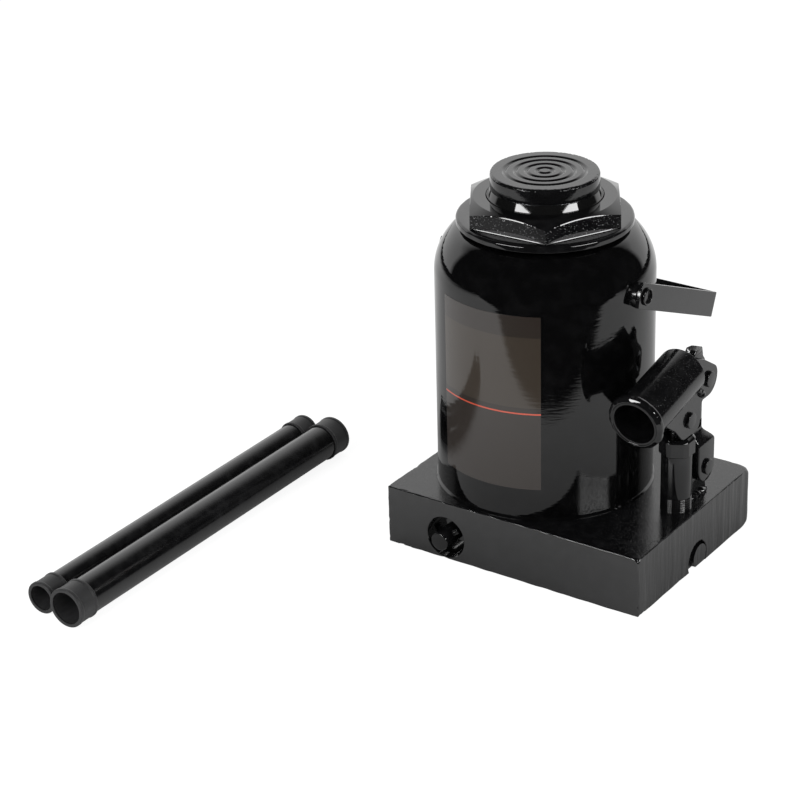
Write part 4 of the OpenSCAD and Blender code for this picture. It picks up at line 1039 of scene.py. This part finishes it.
# %% Carrying strap
STRAP_PIVOT = np.array([0, -5.0, 207.0])
STRAP_DROOP = math.radians(23.5)
STRAP_IN, STRAP_THICK, STRAP_LENGTH, STRAP_WIDTH = tank_r + 2.2, 3.0, 114.0, 18.6
STRAP_SHIFT, STRAP_END, STRAP_CROWN = 1.3, 8.2, 1.3


def strap_path(half, back, bend, width):
    """One line along the strap: up one leg, across the back and down the other, with round bends.

    Both ends bulge in the middle of the strap's width, by the crown times 1 - (width / half width) squared.
    """
    end = STRAP_END + STRAP_CROWN * (1 - (2 * width / STRAP_WIDTH) ** 2)
    plan = rounded([(half, -end, 0), (half, back, bend), (-half, back, bend), (-half, -end, 0)], 9,
                   closed=False)
    return np.column_stack([plan, np.full(len(plan), width)])


widths = np.linspace(-0.5, 0.5, 9) * STRAP_WIDTH
outside = [strap_path(STRAP_IN + STRAP_THICK, STRAP_LENGTH, 5, width) for width in widths]
inside = [strap_path(STRAP_IN, STRAP_LENGTH - STRAP_THICK, 2, width) for width in widths[::-1]]
points = np.vstack(outside + inside) + [STRAP_SHIFT, 0, 0]
count, across_end = len(outside[0]), np.arange(len(widths) - 1)
opposite = 2 * len(widths) - 1 - across_end
end_faces = np.stack([across_end, across_end + 1, opposite - 1, opposite], -1) * count
faces = np.vstack([quads(2 * len(widths), count, True), end_faces, end_faces + count - 1])
cosine, sine = math.cos(STRAP_DROOP), math.sin(STRAP_DROOP)
points = points @ np.array([[1, 0, 0], [0, cosine, -sine], [0, sine, cosine]]) + STRAP_PIVOT
piece("carry_strap_bent", "carry_strap", ["carry_strap"], [(points, faces)], [plate_enamel],
      edge=0.5)

# %% Bosses and pivot screws
BOSS_R, SCREW_R = 9.4, 4.9


def boss(face):
    """Boss along Z, from inside the tank's wall to just short of the strap's inner face."""
    start, end = tank_r - 6, face - 0.35
    return bar([(0, start, 0), (BOSS_R, start, 0.2), (BOSS_R, end, 0.5), (0, end, 0)], 72)


def screw(face):
    """Pivot screw along Z, with a dished head on the strap's outer face."""
    return bar([
        (0, tank_r, 0), (SCREW_R, tank_r, 0.1), (SCREW_R, face + 0.3, 0.1), (6.4, face + 0.3, 0.2),
        (6.3, face + 1.5, 0.5), (5.2, face + 1.9, 0.4), (4.2, face - 0.4, 0.4), (0, face - 0.7, 0),
    ])


legs = (([1, 0, 0], STRAP_IN + STRAP_SHIFT), ([-1, 0, 0], STRAP_IN - STRAP_SHIFT))
piece("strap_bosses_round", "jack_body", ["strap_bosses"],
      [along(boss(face), STRAP_PIVOT, way) for way, face in legs], [pipe_enamel])
piece("strap_screws_dished", "jack_body", ["strap_screws"],
      [along(screw(face + STRAP_THICK), STRAP_PIVOT, way) for way, face in legs], [smooth_enamel])

# %% [markdown]
# ## Release valve
# The release valve's stem stands in the front pocket with a pin across it, and the notched end of the
# handle turns it. Both are plain turned steel, painted with the rest.

# %% Release valve
STEM_R = 7.0
pocket_floor = base_low[1] + POCKET_DEPTH
stem_length = pocket_floor - release_low[1]
stem = bar([(0, -10, 0), (STEM_R, -10, 0), (STEM_R, stem_length, 1.0), (0, stem_length, 0)], 72)
piece("release_stem_turned", "release_valve", ["release_stem"],
      [along(stem, [release_x, pocket_floor, release_z], [0, -1, 0])], [smooth_enamel])
CROSS_R, CROSS_HALF, CROSS_TURN = 2.5, 12.5, math.radians(35)
cross_pin = bar([(0, -CROSS_HALF, 0), (CROSS_R, -CROSS_HALF, 0.5), (CROSS_R, CROSS_HALF, 0.5),
                 (0, CROSS_HALF, 0)], 40)
cross_place = [release_x, base_low[1] + 3, release_z]
piece("release_cross_pin_turned", "release_valve", ["release_cross_pin"],
      [along(cross_pin, cross_place, [math.cos(CROSS_TURN), 0, math.sin(CROSS_TURN)])], [smooth_enamel])

# %% [markdown]
# ## Filler plug
# The oil goes in through a hole at the back of the tank, which a rubber plug closes. Its head is a low
# button, and the profile is carried along the tank's radius.

# %% Filler plug
filler_low, filler_high = span("filler_plug")
filler_out = unit(np.array([-1.0, 1.0, 0.0]))
filler_z = (filler_low[2] + filler_high[2]) / 2
filler = bar([(0, -6, 0), (6, -6, 0.3), (6, -1.5, 0), (9.5, -1.2, 0.2), (9.5, 3.4, 1.4), (6.5, 5, 1.2),
              (4.5, 4.2, 0.6), (0, 4.2, 0)], 72)
piece("filler_plug_moulded", "jack_body", ["filler_plug"],
      [along(filler, filler_out * tank_r + [0, 0, filler_z], filler_out)], [seal_rubber])

# %% [markdown]
# ## Handle halves
# The pump handle comes in two tubes, one of which slides into the other, and soft vinyl caps close their
# ends. They lie side by side on their caps. Tube and caps are closed profiles along Y.

# %% Handle tubes and caps
CAP_LENGTH, CAP_WALL, CAP_FLOOR = 18.0, 1.3, 1.2
TUBE_WALL, TUBE_GAP, TUBE_STEPS = 1.5, 1.4, 96
for size in ("large", "small"):
    low, high = span(f"handle_caps_{size}")
    middle_x, middle_z = (low[0] + high[0]) / 2, (low[2] + high[2]) / 2
    cap_r = (high[0] - low[0]) / 2
    tube_r = cap_r - CAP_WALL
    bore = tube_r - TUBE_WALL
    length = high[1] - low[1]
    tube_loop = [(bore, TUBE_GAP), (tube_r, TUBE_GAP), (tube_r, length - TUBE_GAP), (bore, length - TUBE_GAP)]
    zones = np.repeat([0, 0, 0, 1], TUBE_STEPS)
    piece(f"handle_{size}_tube", f"handle_{size}", [f"handle_tube_{size}"],
          [along(turned(tube_loop, TUBE_STEPS), [middle_x, low[1], middle_z], [0, 1, 0])],
          [handle_enamel, tube_scale], zones)
    cap_loop = rounded([
        (bore, 0, 0.5), (cap_r, 0, 0.9), (cap_r, 2.6, 0.3), (cap_r - 0.45, 3.4, 0.3),
        (cap_r - 0.5, CAP_LENGTH - 2.8, 0.3), (cap_r, CAP_LENGTH - 2.0, 0.3), (cap_r, CAP_LENGTH, 0.6),
        (tube_r + 0.05, CAP_LENGTH, 0.1), (tube_r + 0.05, CAP_FLOOR, 0), (bore, CAP_FLOOR, 0.1),
    ], 5)
    near_cap = along(turned(cap_loop, TUBE_STEPS), [middle_x, low[1], middle_z], [0, 1, 0])
    far_cap = along(turned(cap_loop, TUBE_STEPS), [middle_x, high[1], middle_z], [0, -1, 0])
    piece(f"handle_{size}_caps", f"handle_{size}", [f"handle_caps_{size}"],
          [near_cap, far_cap], [cap_vinyl])

# %% [markdown]
# ## Pieces that keep their solids
# The ram, the plunger, the clips, the plug in the pump end and everything sealed inside have the right
# shape already. They keep their meshes, and only their material changes.

# %% Finishes on the remaining solids
by_slot = {"ground_steel": ground_steel, "seal_rubber": seal_rubber, "gasket_copper": gasket_copper,
           "black_enamel": smooth_enamel}
by_node = {"plunger": dark_plunger_steel, "delivery_plug": cut_enamel}
kept = 0
for part in frame["record"]["subparts"]:
    solid = frame["nodes"][part["node"]]
    if not solid.hide_render:
        for holder in solid.material_slots:
            holder.material = by_node.get(part["node"], by_slot[part["material_slot"]])
        kept += 1
print("solids kept:", kept)
